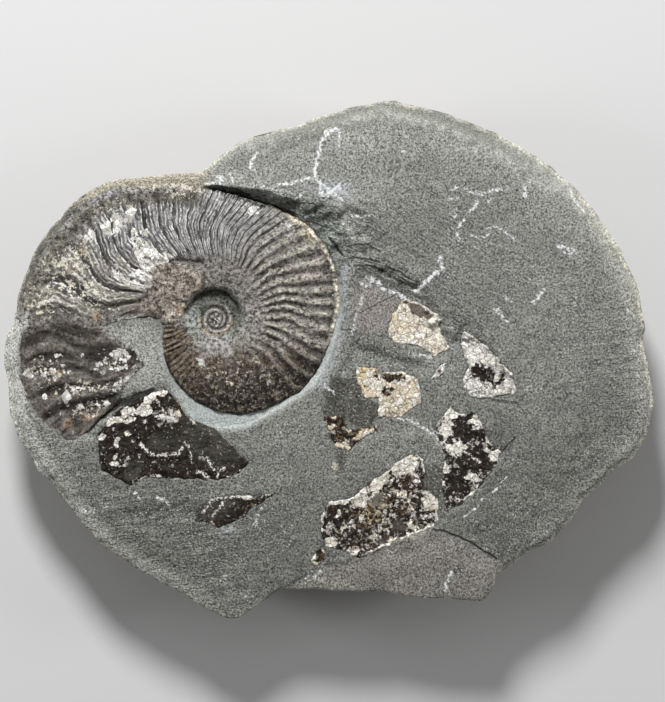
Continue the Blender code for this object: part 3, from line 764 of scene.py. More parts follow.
# Pale streaks and brownish blotches on the rock: colour, how strong, half width, and points.
HAZES = (
    (ROCK_PALE, 0.55, 5, ((345, 122), (380, 113), (430, 124), (470, 140), (500, 158), (522, 176),
     (556, 194))),
    (ROCK_PALE, 0.5, 5, ((470, 150), (513, 162), (535, 182), (553, 191))),
    (ROCK_PALE, 0.5, 7, ((500, 135), (530, 155), (556, 176))),
    (BUFF_GREY, 0.7, 4, ((571, 197), (586, 214), (602, 233), (612, 256))),
    (ROCK_PALE, 0.45, 8, ((610, 262), (626, 300), (632, 340), (636, 392))),
    (ROCK_LIGHT, 0.6, 14, ((530, 560), (568, 520), (610, 478), (636, 430))),
    (HAZE_BLUE, 0.75, 7, ((322, 190), (334, 189), (346, 191))),
    (ROCK_PALE, 0.5, 5, ((415, 353), (432, 358))),
    (ROCK_PALE, 0.5, 6, ((252, 148), (262, 152), (270, 146))),
    (ROCK_PALE, 0.4, 4, ((345, 222), (372, 244), (382, 262))),
    (ROCK_PALE, 0.4, 5, ((348, 232), (366, 234))),
    (ROCK_PALE, 0.3, 5, ((345, 432), (390, 436), (412, 430))),
    (ROCK_PALE, 0.35, 8, ((205, 183), (240, 182), (280, 190))),
    (HAZE_BLUE, 0.4, 4, ((318, 388), (332, 366), (340, 335), (343, 300), (345, 268))),
    (HAZE_BLUE, 0.35, 5, ((232, 528), (222, 530))),
    (ROCK_PALE, 0.45, 3, ((404, 414), (424, 426), (438, 440), (442, 462))),
    (ROCK_PALE, 0.6, 2, ((352, 239), (364, 236), (373, 238), (380, 246), (382, 252))),
    (ROCK_PALE, 0.5, 2, ((350, 217), (360, 220), (368, 217))),
    (ROCK_PALE, 0.45, 3, ((342, 222), (346, 232))),
    (BROWN_GREY, 0.55, 17, ((98, 528), (124, 546), (150, 562))),
    (BROWN_GREY, 0.5, 17, ((548, 486), (566, 462), (588, 440))),
    (BROWN_GREY, 0.4, 12, ((175, 560), (205, 548))),
    (ROCK_PALE, 0.4, 3, ((300, 587), (340, 588), (390, 592), (440, 598), (488, 602))),
    (ROCK_PALE, 0.4, 2, ((350, 263), (366, 264), (386, 268))),
    (ROCK_PALE, 0.35, 2, ((372, 276), (392, 280), (408, 286))),
)
# Soft dark bands of painted shade along the rock's grooves, steps and ledges: how dark, half width, and
# points.
PAINTED_SHADE_BANDS = (
    (0.35, 3.5, ((350, 345), (372, 350), (402, 360), (420, 366))),
    (0.4, 4.0, ((347, 210), (358, 211), (367, 213))), (0.35, 4.0, ((346, 246), (358, 246), (371, 248))),
    (0.5, 4.5, ((360, 268), (372, 270), (386, 272))), (0.5, 5.5, ((380, 282), (394, 287), (409, 290))),
    (0.3, 3.0, ((440, 318), (462, 327), (480, 331))), (0.5, 3.0, ((128, 514), (160, 511), (198, 509))),
    (0.25, 4.0, ((334, 440), (340, 452), (338, 470))), (0.3, 5.0, ((470, 430), (486, 436), (500, 432))),
)
# Sharp dark lines on the rock: real cracks, and lines of painted shadow such as the black slit at the
# cliff's foot along the coil and the shaded edges of ledges on the scarp; how dark, half width, and
# points.
DARK_LINES = (
    # Painted shadow: the black slit at the cliff's foot along the coil's edge, and the line just above
    # it.
    (0.97, 2.4, ((203, 189), (218, 192), (240, 197), (261, 203), (280, 209), (300, 218))),
    (0.8, 1.2, ((206, 187), (222, 187), (240, 191), (252, 195))),
    (0.85, 1.3, ((329, 238), (336, 246), (344, 257))),
    (0.75, 1.0, ((347, 259), (356, 258), (368, 260), (382, 264))),
    (0.8, 1.0, ((430, 528), (448, 532), (464, 539), (480, 548), (499, 560))),
    (0.7, 1.0, ((501, 452), (508, 444), (515, 437))), (0.6, 1.2, ((490, 399), (505, 402), (520, 404))),
    (0.85, 3.4, ((84, 430), (96, 419), (118, 405), (140, 396), (157, 389))),
    # Painted shade under the edges of the scarp's ledges.
    (0.6, 1.0, ((346, 248), (358, 244), (370, 246), (382, 253))),
    (0.6, 1.0, ((352, 266), (366, 266), (384, 271))), (0.6, 1.0, ((384, 266), (400, 273), (420, 285))),
    (0.5, 1.0, ((386, 276), (400, 281), (412, 288))),
    (0.4, 0.7, ((358, 315), (374, 305), (390, 298), (396, 295))),
    (0.5, 0.9, ((340, 330), (350, 330), (358, 332))), (0.5, 1.0, ((302, 210), (312, 214), (324, 214))),
    (0.5, 1.0, ((306, 222), (318, 224), (332, 229))), (0.5, 1.0, ((290, 200), (298, 203), (306, 203))),
)
# Thin dark films of shell left on the rock: colour, how strong, and outline.
FILMS = (
    (FILM_PURPLE, 0.8, ((350, 276), (376, 284), (396, 297), (410, 306), (396, 318), (388, 335),
     (357, 331), (352, 310))),
    (FILM_DARK, 0.95, ((323, 389), (333, 378), (357, 374), (366, 398), (378, 403), (379, 419), (366, 428),
     (350, 424), (336, 416), (324, 414))),
    (FILM_DARK, 0.8, ((418, 466), (430, 466), (443, 470), (442, 506), (436, 512), (430, 492),
     (420, 480))),
    (FILM_DARK, 0.5, ((345, 437), (352, 441), (347, 462), (338, 472), (336, 452))),
    (SHELL_BROWN, 0.6, ((152, 389), (170, 389), (188, 410), (180, 412), (160, 396))),
)


def vein_marks(col, row, veins):
    """Distance to the nearest vein, and how whole it is close to it."""
    best = np.full(col.shape, 99.0)
    whole = np.zeros(col.shape)
    for power, line in veins:
        distance = line_distance(col, row, line)[0]
        whole = np.where(distance < best, power, whole)
        best = np.minimum(distance, best)
    return np.minimum(best, 6), whole * fall(best, 3, 6)


def dark_line_marks(col, row):
    """Distance to the nearest dark line, real crack and painted shadow line alike, over its half width,
    signed by side, and how dark it is.
    """
    wavy = shaken(col, row, 1.2, 10, (101, 103))
    best = np.full(col.shape, 99.0)
    signed = best.copy()
    dark = np.zeros(col.shape)
    for power, width, line in DARK_LINES:
        distance, side, along = line_distance(*wavy, line)
        distance = distance / width
        nearer = distance < best
        best = np.where(nearer, distance, best)
        signed = np.where(nearer, side * distance, signed)
        ends = band(along, 0, 0.05, 0.93, 1)
        dark = np.where(nearer, power * ends * fall(distance, 3, 5), dark)
    return np.clip(signed, -6, 6), dark


def bevel_share(degrees, inset):
    """1 on the worn band inside the upper rim."""
    return bell(degrees - 72, 45, 4) * fall(inset, 16, 30)


def paint_beds(coat, col, row):
    """The rock's greys: darker low down and lighter at the upper left, partly as painted light falling
    from the top, and browner on the shelf.
    """
    lower_right = rise(row, 330, 520) * rise(col, 340, 480)
    lower = np.maximum(lower_right, rise(row, 430, 520) * 0.85)
    # Darker low down and lighter at the upper left: partly the rock's tone, partly painted light from the
    # top.
    coat.over(ROCK_DARK, lower)
    coat.over(ROCK_LIGHT, fall(row, 130, 260) * fall(col, 330, 470) * 0.75)
    coat.over(SHELF_BROWN, rise(depth_inside(col, row, SHELF_OUTLINE), -2, 1) * 0.9)
    ripples = 0.2 * lower * rough_noise(col * 0.4, row + 0.1 * col, 12, 15)
    coat.times(0.94 + 0.12 * patches(col, row, 46, 51, -0.4, 0.6, 4) + ripples)
    coat.over(ROCK_LIGHT, spot(col, row, (138, 355), 52, 0.9) * 0.9)


def paint_hollow(coat, col, row):
    """The pale ground moat below the coil and the cliff above it, painted darker, partly as shade on a
    wall facing away from the light.
    """
    hollow = depth_inside(col, row, HOLLOW_OUTLINE)
    moat = rise(hollow / hollow_form(col, row)[1], 0.1, 0.9) * rise(row, 262, 300)
    moat *= 1 - 0.55 * fall(col, 165, 185)
    coat.over(MOAT_PALE, moat * (0.7 + 0.15 * rise(row, 350, 400)))
    # The cliff: partly its own greener grey, partly painted shade on a wall facing away from the light,
    # darkest at its left end.
    cliff = rise(hollow, -1, 4) * fall(row, 235, 275)
    chips = patches(col * 0.6 + row * 0.3, row, 10, 57, -0.5, 0.5)
    shade = mix(0.8, 1.35, rise(col, 245, 302)) * mix(0.8, 1.35, chips)
    coat.over(CLIFF_GREY_AND_SHADE * shade[:, None], cliff * 0.9)


def paint_films(coat, col, row):
    """The films of shell left on the rock, a dark hollow and one pale scab."""
    wavy = shaken(col, row, 3, 12, (53, 55), 3)
    worn = patches(col, row, 10, 54, -1.0, -0.1)
    for shade, power, area in FILMS:
        inside = rise(depth_inside(*wavy, area), -1.5, 1.5)
        coat.over(shade, power * inside * (0.65 + 0.35 * worn))
    coat.over(ROCK_DARK, spot(col, row, (388, 352), 48, 0.4, 12) * 0.6)
    coat.over(KEEL_PALE * 0.8, spot(col, row, (335, 466), 6, 0.7, 60))


def paint_streaks(coat, col, row):
    """The pale streaks and blotches, and the bands of painted shade, that the tables lay out."""
    wavy = shaken(col, row, 1.5, 10, (101, 103))
    cloud = patches(col, row, 9, 105, -0.7, 0.5)
    for shade, power, width, line in HAZES:
        coat.over(shade, power * cloud * near_line(*wavy, line, width))
    # Painted shade along the rock's grooves, steps and ledges.
    for power, width, line in PAINTED_SHADE_BANDS:
        coat.over(SHELL_DARK * 0.35, power * near_line(*wavy, line, width))


def paint_margins(coat, col, row, degrees, inset):
    """The buff margin at the upper left, the rims made paler by painted rim light, and the thin painted
    highlight along the edge.
    """
    upper_left = fall(col, 200, 216) * fall(row, 300, 330)
    patchy = patches(col, row, 12, 58, -0.6, 0.4)
    coat.over(mix(MARGIN_DARK, MARGIN_BROWN, patchy[:, None]), upper_left * 0.9)
    coat.over(MARGIN_BUFF, upper_left * fall(row, 194, 208) * mix(0.6, 0.95, patchy))
    # Painted rim light: paler bands inside the right, left and lower left rims.
    right = bell(degrees - 12, 30, 4) * fall(inset, 8, 20)
    coat.over(PAINTED_RIM_LIGHT, right * 0.7)
    left = bell(np.abs(degrees) - 180, 24, 4) * fall(inset, 12, 24)
    lower_left = bell(degrees + 140, 25, 4) * fall(inset, 8, 22) * 0.5
    coat.over(ROCK_PALE, np.maximum(left, lower_left) * (1 - upper_left) * 0.85)
    # Painted highlight: a thin light line along the slab's edge.
    rim = fall(inset, mix(0.8, 2.5, right), mix(4.0, 2.4, upper_left) + 2 * right)
    rim *= rise(rough_noise(col, row, 20, 57, 4), -0.9, 0.3)
    coat.over(PAINTED_EDGE_HIGHLIGHT, rim * (0.7 + 0.3 * right - 0.15 * bell(degrees + 80, 30, 4)))


def paint_crust(coat, col, row, on_face, height):
    """The brown crust of the nodule's sides and back, with the layers of the rock."""
    crust = Coat(CRUST_BROWN, len(col))
    crust.over(ROCK_GREY, patches(col + height * 9, row, 60, 59, -0.3, 0.5, 4) * 0.7)
    broad_layers = noise(0.05 * (col + row), -height * 3, 5, 67)
    thin_layers = noise(0.1 * (col - row), -height * 5, 4, 69)
    crust.times(1 + 0.16 * (broad_layers + 0.6 * thin_layers))
    coat.over(crust.colour, np.where(on_face, 0, fall(height, 19, 25)))


def rock_paint(col, row, inset, on_face, height):
    degrees = around(SLAB_HUB, col, row)[1]
    coat = Coat(ROCK_GREY, len(col))
    paint_beds(coat, col, row)
    paint_hollow(coat, col, row)
    paint_films(coat, col, row)
    # Painted light: a paler band inside the upper right rim.
    coat.over(ROCK_LIGHT, bell(degrees - 50, 32, 4) * fall(inset, 20, 60) * 0.6)
    coat.over(BEVEL_GREY, bevel_share(degrees, inset) * 0.9)
    # Painted rim light: a paler band inside the right rim.
    coat.over(ROCK_LIGHT, bell(degrees - 30, 14, 4) * fall(inset, 10, 26) * 0.6)
    paint_streaks(coat, col, row)
    paint_margins(coat, col, row, degrees, inset)
    paint_crust(coat, col, row, on_face, height)
    return coat.colour


# ---------------------------------------------------------------- the rock

FACE_CELLS = 260
BACK_RINGS = 24
# Broken rock with sharp facets: middle, radius, squash and turn.
HACKLY_SPOTS = (((356, 238), 44, 0.8, 60), ((388, 274), 54, 0.42, 32), ((450, 322), 50, 0.4, 30))


def disc_grid(cells):
    """A square grid carried onto a disc: its corners' index, reach from 0 to 1, x and y."""
    side = np.linspace(-1, 1, cells + 1)
    across, down = np.meshgrid(side, side)
    wide = np.abs(across) > np.abs(down)
    reach = np.maximum(np.abs(across), np.abs(down))
    signed = np.where(wide, across, down)
    safe = np.where(reach == 0, 1, signed)
    angle = np.where(wide, np.pi / 4 * down / safe, np.pi / 2 - np.pi / 4 * across / safe)
    index = np.arange(reach.size).reshape(reach.shape)
    return index, reach.ravel(), (signed * np.cos(angle)).ravel(), -(signed * np.sin(angle)).ravel()


def back_ring(step, x, y, radius, height):
    """One ring of the nodule's rounded, lumpy back, as columns, rows and heights."""
    order = np.arange(len(BACK_PROFILE))
    part, level = (np.interp(step, order, column) for column in zip(*BACK_PROFILE))
    lump_col = SLAB_HUB[0] + x * radius + 37 * step
    lump_row = SLAB_HUB[1] - y * radius - 23 * step
    lump = 0.012 * rise(1 - level, 0, 0.2) * rough_noise(lump_col, lump_row, 40, 61, 4)
    reach = radius * part * (1 + lump)
    dent = 0.05 * rise(level, 0.0, 0.2) * rough_noise(lump_col, lump_row, 50, 63)
    return SLAB_HUB[0] + x * reach, SLAB_HUB[1] - y * reach, height * level * (1 + dent)


def rock_marks(col, row, inset, on_face, height):
    """The colours of the rock, and where it has dark lines of cracks and painted shadow, and where it is
    hackly, calm, veined and streaked.
    """
    vein, whole = vein_marks(col, row, VEINS)
    dark_line, dark = dark_line_marks(col, row)
    hollow = depth_inside(col, row, HOLLOW_OUTLINE)
    hackly = rise(hollow, -3, 3) * fall(row, 250, 275) * rise(col, 255, 285)
    for area in HACKLY_SPOTS:
        hackly = np.maximum(hackly, 0.6 * spot(col, row, *area))
    bevel = bevel_share(around(SLAB_HUB, col, row)[1], inset)
    return {
        "paint": rock_paint(col, row, inset, on_face, height),
        "dark_line": dark_line,
        "dark_line_darkness": np.where(on_face, dark, 0),
        "hackly": np.where(on_face, hackly, 0),
        "calm": np.maximum(rise(hollow, 0, 6) * rise(row, 255, 300), 0.75 * bevel),
        "vein": vein,
        "vein_whole": np.where(on_face, whole, 0),
        "level_streaks": np.maximum(ripple_share(col, row), spot(col, row, (620, 380), 110, 0.7, 80)),
        "slant_streaks": spot(col, row, (440, 262), 130, 0.7, 30),
    }


def build_rock():
    index, reach, x, y = disc_grid(FACE_CELLS)
    radius = slab_place(SLAB_HUB[0] + 100 * x, SLAB_HUB[1] - 100 * y)[1]
    col, row = SLAB_HUB[0] + x * radius, SLAB_HUB[1] - y * radius
    height = with_beds(col, row, rock_face(col, row))

    rim = grid_rim(index)
    steps = np.linspace(0, len(BACK_PROFILE) - 1, BACK_RINGS + 1)[1:]
    back = [back_ring(step, x[rim], y[rim], radius[rim], height[rim]) for step in steps]
    col, row, height = (np.concatenate(part) for part in zip((col, row, height), *back))
    loops = [rim, *np.arange(x.size, col.size).reshape(BACK_RINGS, len(rim))]
    faces = np.concatenate([grid_faces(index), *map(ring_faces, loops[1:], loops[:-1])])
    faces = [*faces.tolist(), loops[-1][::-1].tolist()]

    on_face = np.arange(col.size) < x.size
    inset = np.zeros(col.size)
    inset[on_face] = radius * (1 - reach)
    marks = rock_marks(col, row, inset, on_face, height)
    make_piece("rock", to_metres(col, row, height), faces, marks, rock_finish(), "matrix_slab")


# ---------------------------------------------------------------- the ammonite

SPOKES, INNER_ROWS, OUTER_ROWS = 980, 16, 63
# How far inside the slab's rim the spokes' ends stay, in steps.
RIM_GAP = 3
# Heights in mm: the sheet's hidden floor, its least thickness on rock, and how deep hidden edges dip.
SHEET_FLOOR, THIN_SHELL, EDGE_DIP = 18.0, 0.15, 1.5
# Crazed calcite on the shell: the share of its blocks that show, and outlines.
CALCITE_SPOTS = (
    (1.0, ((133, 240), (141, 238), (147, 242), (153, 247), (161, 254), (170, 260), (164, 264), (152, 267),
     (150, 273), (143, 272), (139, 262), (134, 250))),
    (0.95, ((112, 264), (118, 264), (121, 272), (129, 276), (136, 270), (144, 268), (152, 274),
     (153, 284), (147, 292), (138, 291), (127, 285), (116, 279))),
    (0.95, ((110, 221), (113, 213), (119, 212), (122, 219), (123, 228), (117, 235), (112, 238),
     (104, 233), (100, 226))),
    (0.85, ((124, 226), (133, 220), (138, 209), (129, 205), (126, 214))),
    (1.0, ((131, 229), (137, 229), (137, 241), (132, 240))),
    (1.0, ((140, 231), (148, 229), (150, 235), (142, 236))),
    (0.9, ((86, 236), (90, 229), (97, 227), (98, 234), (92, 241), (84, 243))),
    (0.8, ((160, 248), (166, 250), (174, 258), (166, 258))),
    (0.75, ((111, 352), (116, 349), (124, 348), (129, 354), (130, 360), (124, 362), (113, 360))),
    (1.2, ((61, 397), (66, 390), (71, 397), (67, 405))),
    (0.9, ((113, 390), (118, 383), (126, 376), (134, 374), (131, 379), (123, 386), (116, 393))),
    (0.8, ((196, 358), (205, 360), (206, 367), (199, 366))),
    (1.2, ((246, 209), (253, 206), (259, 208), (260, 214), (251, 216))),
    (0.6, ((282, 226), (290, 224), (298, 228), (290, 231))),
)
# Single blocks of calcite: middle and radius.
CALCITE_BEADS = (
    (44, 358, 4), (58, 355, 3), (51, 361, 2.5), (29, 374, 6.5), (45, 374, 4), (54, 371, 4.5),
    (57, 378, 4), (66, 372, 3.5), (71, 370, 3), (64, 366, 2.5), (99, 364, 3), (106, 362, 3),
    (112, 368, 3), (103, 372, 3.5), (119, 369, 4), (127, 367, 4.5), (136, 366, 4), (122, 357, 3),
    (97, 370, 2.5), (76, 389, 4), (83, 387, 4), (90, 389, 4), (70, 386, 3), (106, 388, 4), (45, 397, 4),
    (82, 408, 4), (86, 415, 4), (98, 404, 3), (107, 403, 3), (76, 411, 3), (209, 376, 2.4),
    (269, 382, 2.4), (61, 375, 2.5),
)
# Flecks of pale shell: middle, radius, squash, turn and power.
FLECK_ZONES = (
    ((66, 262), 46, 0.55, -20, 1.0), ((42, 300), 32, 0.7, 20, 1.0), ((176, 190), 36, 0.3, 5, 0.9),
    ((110, 215), 34, 0.6, -35, 0.7), ((120, 362), 20, 0.6, -20, 1.0), ((80, 388), 40, 0.3, 0, 0.9),
    ((90, 410), 26, 0.5, -20, 0.9), ((248, 210), 30, 0.5, 25, 0.5), ((45, 372), 26, 0.8, 0, 0.9),
    ((240, 372), 60, 0.5, 0, 0.45), ((120, 380), 26, 0.3, -35, 0.9), ((85, 290), 46, 0.4, 15, 0.9),
    ((150, 270), 50, 0.4, 5, 0.3), ((100, 312), 40, 0.4, 10, 0.6), ((176, 312), 26, 0.5, -25, 0.9),
    ((290, 230), 46, 0.35, 40, 0.6), ((175, 280), 40, 0.6, 0, 0.4), ((335, 290), 50, 0.12, 88, 0.8),
)
# Dark hollows of the crushed body chamber: middle, radius, squash and turn.
DARK_HOLLOWS = (
    ((103, 353), 34, 0.42, -6), ((52, 357), 24, 0.3, 0), ((62, 389), 40, 0.2, -10),
    ((88, 403), 46, 0.2, -12), ((116, 397), 17, 0.6, -20), ((50, 373), 26, 0.3, 10),
    ((70, 331), 32, 0.16, 18), ((122, 365), 22, 0.45, 0), ((58, 411), 26, 0.4, -25),
    ((138, 355), 22, 0.5, 12), ((36, 340), 20, 0.3, -20),
)
GLASSY_OVALS = ((66, 433), (58, 421))
OCHRE_SPOTS = ((68, 424), (87, 416), (97, 317), (84, 252), (182, 310), (58, 375))


def hollow_share(col, row):
    """1 in the dark hollows of the crushed body chamber."""
    deepest = np.max([spot(col, row, *hollow) for hollow in DARK_HOLLOWS], axis=0)
    return patches(col, row, 9, 111, -1.3, -0.6) * deepest


def calcite_share(col, row):
    """How many of the calcite's blocks show: in outlined places, single blocks and dark hollows."""
    share = 0.16 * hollow_share(col, row)
    wavy = shaken(col, row, 1.2, 5, (93, 94))
    for bright, area in CALCITE_SPOTS:
        share = np.maximum(share, bright * rise(depth_inside(*wavy, area), -1, 1))
    uneven = 1.2 * noise(col, row, 5, 95)
    for x, y, radius in CALCITE_BEADS:
        away = np.hypot(col - x, row - y) + uneven
        share = np.maximum(share, fall(away, radius * 0.3, radius * 1.1))
    return share


def paint_flanks(coat, sheet, top):
    """The greys and browns of the flanks, the lower flank darker, partly as painted shade; painted shade
    in the ribs' grooves and a painted highlight on their crests.
    """
    col, row, body, coil = sheet.col, sheet.row, sheet.body, sheet.coil
    coat.over(SHELL_SILVER, top * coil * 0.8)
    coat.times(mix(1, mix(0.6, 1.45, patches(col, row, 20, 115, -0.8, 0.8)), top))
    coat.over(GRANULAR_GREY, band(row, 248, 262, 290, 320) * coil * 0.8)
    coat.over(FLANK_PALE, rise(col, 236, 282) * band(row, 222, 258, 345, 385) * coil * 0.75)
    right_of_hub = col - COIL_HUB[0]
    lower = rise(row - 0.12 * right_of_hub, 325, 362) * coil
    coat.over(SHELL_BROWN, lower * patches(col, row, 24, 73, -0.9, 0.3, 4))
    # The lower flank darker: partly dark shell, partly painted shade where it turns down away from the
    # light.
    dark = rise(row + 0.18 * right_of_hub, 350, 392) * coil
    coat.over(SHELL_DARK * 0.7, dark * mix(0.5, 1, patches(col, row, 9, 71, -0.9, 0.1, 4)) * 0.95)
    upper_body = body * fall(row, 304, 326) * rise(sheet.away, 50, 70)
    coat.over(MARGIN_BROWN * mix(1, 0.68, fall(col, 80, 110))[:, None], upper_body * 0.9)
    # Painted shade in the grooves between the ribs.
    coat.over(SHELL_DARK, (1 - sheet.ribs) * sheet.strength * mix(0.78, 0.9, body))
    # Painted highlight on the ribs' crests.
    crest = rise(sheet.ribs, 0.75, 1) * sheet.strength * (1 - top * coil)
    coat.over(KEEL_PALE, crest * mix(0.16, 0.28, body))


def paint_silver_lines(coat, sheet, top):
    """The dark and silver lines that run along the ribs at the top."""
    count, away = sheet.count, sheet.away
    streaks = noise(count * 9, away * 0.07, 1, 79) + 0.6 * noise(count * 19, away * 0.12, 1, 80)
    lined = top * sheet.strength * fall(sheet.degrees, 150, 170) * (1 - sheet.mottled)
    coat.over(SHELL_DARK, lined * rise(-streaks, 0.1, 0.7) * 0.85)
    coat.over(SILVER_LINE, lined * rise(streaks, 0.25, 0.8) * 0.75)


def paint_wear_and_cliff_shadow(coat, sheet):
    """The buff margin at the top, a dark top margin of painted shadow from the cliff, the mottled band
    and the crushed piece of shell.
    """
    col, row, degrees, depth = sheet.col, sheet.row, sheet.degrees, sheet.depth
    coat.over(MARGIN_BUFF, fall(depth, 1, 7) * band(degrees, 92, 104, 126, 142) * 0.75)
    # Painted shadow: the shell's top edge darkened where the cliff shades the ends of the ribs.
    coat.over(SHELL_DARK * 0.7, fall(depth, 1.5, 6) * band(degrees, 50, 70, 94, 101) * 0.85)
    mottled = sheet.mottled * rise(depth, 3, 9)
    coat.over(MARGIN_BROWN, mottled * 0.85)
    coat.over(SHELL_DARK, mottled * patches(col, row, 9, 107, -0.1, 0.5) * 0.7)
    coat.over(CRUSHED_BROWN, sheet.crushed * 0.9)
    coat.over(SHELL_DARK, sheet.crushed * patches(col, row, 7, 109, 0.0, 0.5) * 0.7)


def paint_lobes(coat, sheet):
    """The streaked lobes of the crushed body chamber, painted shade in their furrows, and the dark
    hollows.
    """
    col, row, near_furrow = sheet.col, sheet.row, sheet.near_furrow
    lobes = rise(row - 0.1 * (col - 60), 314, 326) * fall(col, 135, 150)
    coat.over(LOBE_GREY, lobes * (1 - near_furrow) * 0.9)
    coat.over(SHELL_BROWN, lobes * patches(col * 0.3, row, 4, 75, 0.0, 0.8, 2) * 0.7)
    coat.over(LOBE_PALE, lobes * patches(col * 0.3, row, 4, 76, 0.1, 0.9, 2) * 0.5)
    # Painted shade in the furrows between the lobes.
    coat.over(SHELL_DARK * 0.8, lobes * near_furrow * 0.9)
    coat.over(SHELL_DARK * 0.7, hollow_share(col, row) * 0.92)


def paint_spots(coat, sheet):
    """The buff corner at the upper right, glassy ovals, ochre spots and the notch's light edge."""
    col, row = sheet.col, sheet.row
    corner = spot(col, row, (309, 227), 34, 0.45, 42) * patches(col, row, 8, 117, -0.4, 0.3)
    coat.over(KEEL_BUFF, corner * 0.6)
    for x, y in GLASSY_OVALS:
        oval = np.hypot(col - x, (row - y) * 0.8)
        coat.over(FILM_PURPLE * 0.35, fall(oval, 4, 8))
        coat.over(FILM_PURPLE, bell(oval - 7.5, 1.6) * 0.7)
    for middle in OCHRE_SPOTS:
        coat.over(OCHRE, spot(col, row, middle, 7) * 0.6)
    coat.over(ROCK_PALE * 0.85, spot(col, row, (24, 322), 17, 0.45, -68) * 0.8)
    notch_edge = notch_share(col, row, 62) * fall(sheet.depth, 0, 7)
    coat.over(ROCK_LIGHT, notch_edge * (1 - spot(col, row, (136, 357), 26, 0.6)) * 0.85)


def paint_umbilicus(coat, sheet):
    """The lined brown shell beside the umbilicus, its filling of rock with painted shade under the wall's
    overhang, and the innermost coils with painted shade between their whorls and a painted highlight on
    their crests.
    """
    col, row, away, degrees = sheet.col, sheet.row, sheet.away, sheet.degrees
    inner_left = sheet.body * fall(away, 60, 75) * rise(row, 322, 332)
    lines = 0.5 + 0.5 * np.cos(2 * np.pi * degrees / 5.2 + noise(col, row, 10, 77) * 2)
    coat.over(WARM_BROWN, inner_left * 0.85)
    coat.over(SHELL_DARK, inner_left * lines * 0.8)
    left_end = fall(degrees, -112, -90) * rise(away, 40, 54)
    lines = rise(np.cos(2 * np.pi * degrees / 4.6 + noise(col, row, 12, 119)), -0.1, 0.7)
    coat.over(WARM_BROWN * 0.8, left_end * 0.6)
    coat.over(SHELL_DARK * 0.8, left_end * lines * 0.8)
    fill = fall(away, 27, 33) * rise(row - 0.3 * (col - COIL_HUB[0]), 292, 302)
    coat.over(FILL_GREY, np.maximum(fill, fall(away, 27, 31)) * 0.95)
    coat.over(LILAC_GREY, spot(col, row, (216, 346), 26, 0.55, 8) * 0.8)
    # Painted shade under the overhanging upper wall of the umbilicus.
    shade = fall(away, 26, 31) * rise(col - 0.5 * (row - COIL_HUB[1]), 196, 210)
    coat.over(OVERHANG_SHADE_OLIVE, shade * fall(row, 322, 340) * 0.85)
    nucleus, coils = nucleus_coils(col, row)
    inner = fall(nucleus, 14, 17)
    coat.over(GRANULAR_GREY * 0.8, inner)
    # Painted shade between the innermost whorls and a painted highlight on their crests.
    coat.over(SHELL_DARK, inner * fall(coils, 0.1, 0.5) * 0.9)
    coat.over(WHORL_PALE, inner * rise(coils, 0.6, 1) * 0.75)
    coat.over(RING_BUFF, bell(nucleus - 15.5, 1.5) * rise(row, 312, 326) * 0.9)


def paint_keel(coat, sheet):
    """The broken pale keel at the right with the dark line inside it, and the cracks."""
    col, row, depth = sheet.col, sheet.row, sheet.depth
    keel = bell(depth - 2.2, 1.5) * rise(col, 262, 300) * fall(row, 318, 350)
    coat.over(KEEL_PALE, keel * patches(col, row, 12, 113, -0.8, 0.1) * 0.95)
    inside_keel = bell(depth - 6, 1.8) * rise(col, 318, 328) * fall(row, 318, 340)
    coat.over(SHELL_DARK * 0.8, inside_keel * 0.7)
    wavy = shaken(col, row, 1, 8, (91, 92))
    for deep, line in CRACKS:
        coat.over(SHELL_DARK * 0.3, near_line(*wavy, line, 1.5) * min(1, deep + 0.45))


def fossil_paint(sheet):
    coat = Coat(SHELL_GREY, len(sheet.col))
    top = rise(sheet.degrees, 45, 85) * fall(sheet.row, 252, 266)
    paint_flanks(coat, sheet, top)
    paint_silver_lines(coat, sheet, top)
    paint_wear_and_cliff_shadow(coat, sheet)
    paint_lobes(coat, sheet)
    paint_spots(coat, sheet)
    paint_umbilicus(coat, sheet)
    paint_keel(coat, sheet)
    return coat.colour


def fossil_marks(sheet):
    """The shell's colours, and where it shows calcite, flecks, fine ribs, grit and smooth lobes."""
    col, row, degrees, strength = sheet.col, sheet.row, sheet.degrees, sheet.strength
    on_ribs = rise(degrees, 128, 150) * strength
    return {
        "paint": fossil_paint(sheet),
        "calcite": calcite_share(col, row) * mix(1, mix(0.5, 1.05, sheet.ribs), on_ribs),
        "fleck": np.max([zone[-1] * spot(col, row, *zone[:-1]) for zone in FLECK_ZONES], axis=0),
        "rib_count": sheet.count,
        "fine_ribs": strength * band(degrees, 40, 85, 175, 200) * (1 - sheet.mottled),
        "grit": 0.9 * rise(row, 330, 385) * sheet.coil + 0.4 * sheet.crushed,
        "smooth": 0.6 * rise(row, 325, 340) * fall(col, 100, 125),
    }


def sheet_place(away, degrees):
    """Columns and rows of places on spokes that lean with the ribs."""
    angle = np.radians(degrees + rib_lean(away, degrees))
    return COIL_HUB[0] + away * np.cos(angle), COIL_HUB[1] - away * np.sin(angle)


def within_slab(reach, degrees):
    """Spoke lengths cut so that no spoke's end comes out through the slab's rim."""
    for _ in range(6):
        away, turn = around(SLAB_HUB, *sheet_place(reach, degrees))
        reach = reach - np.maximum(away - slab_edge(np.radians(turn)) + RIM_GAP, 0)
    return reach


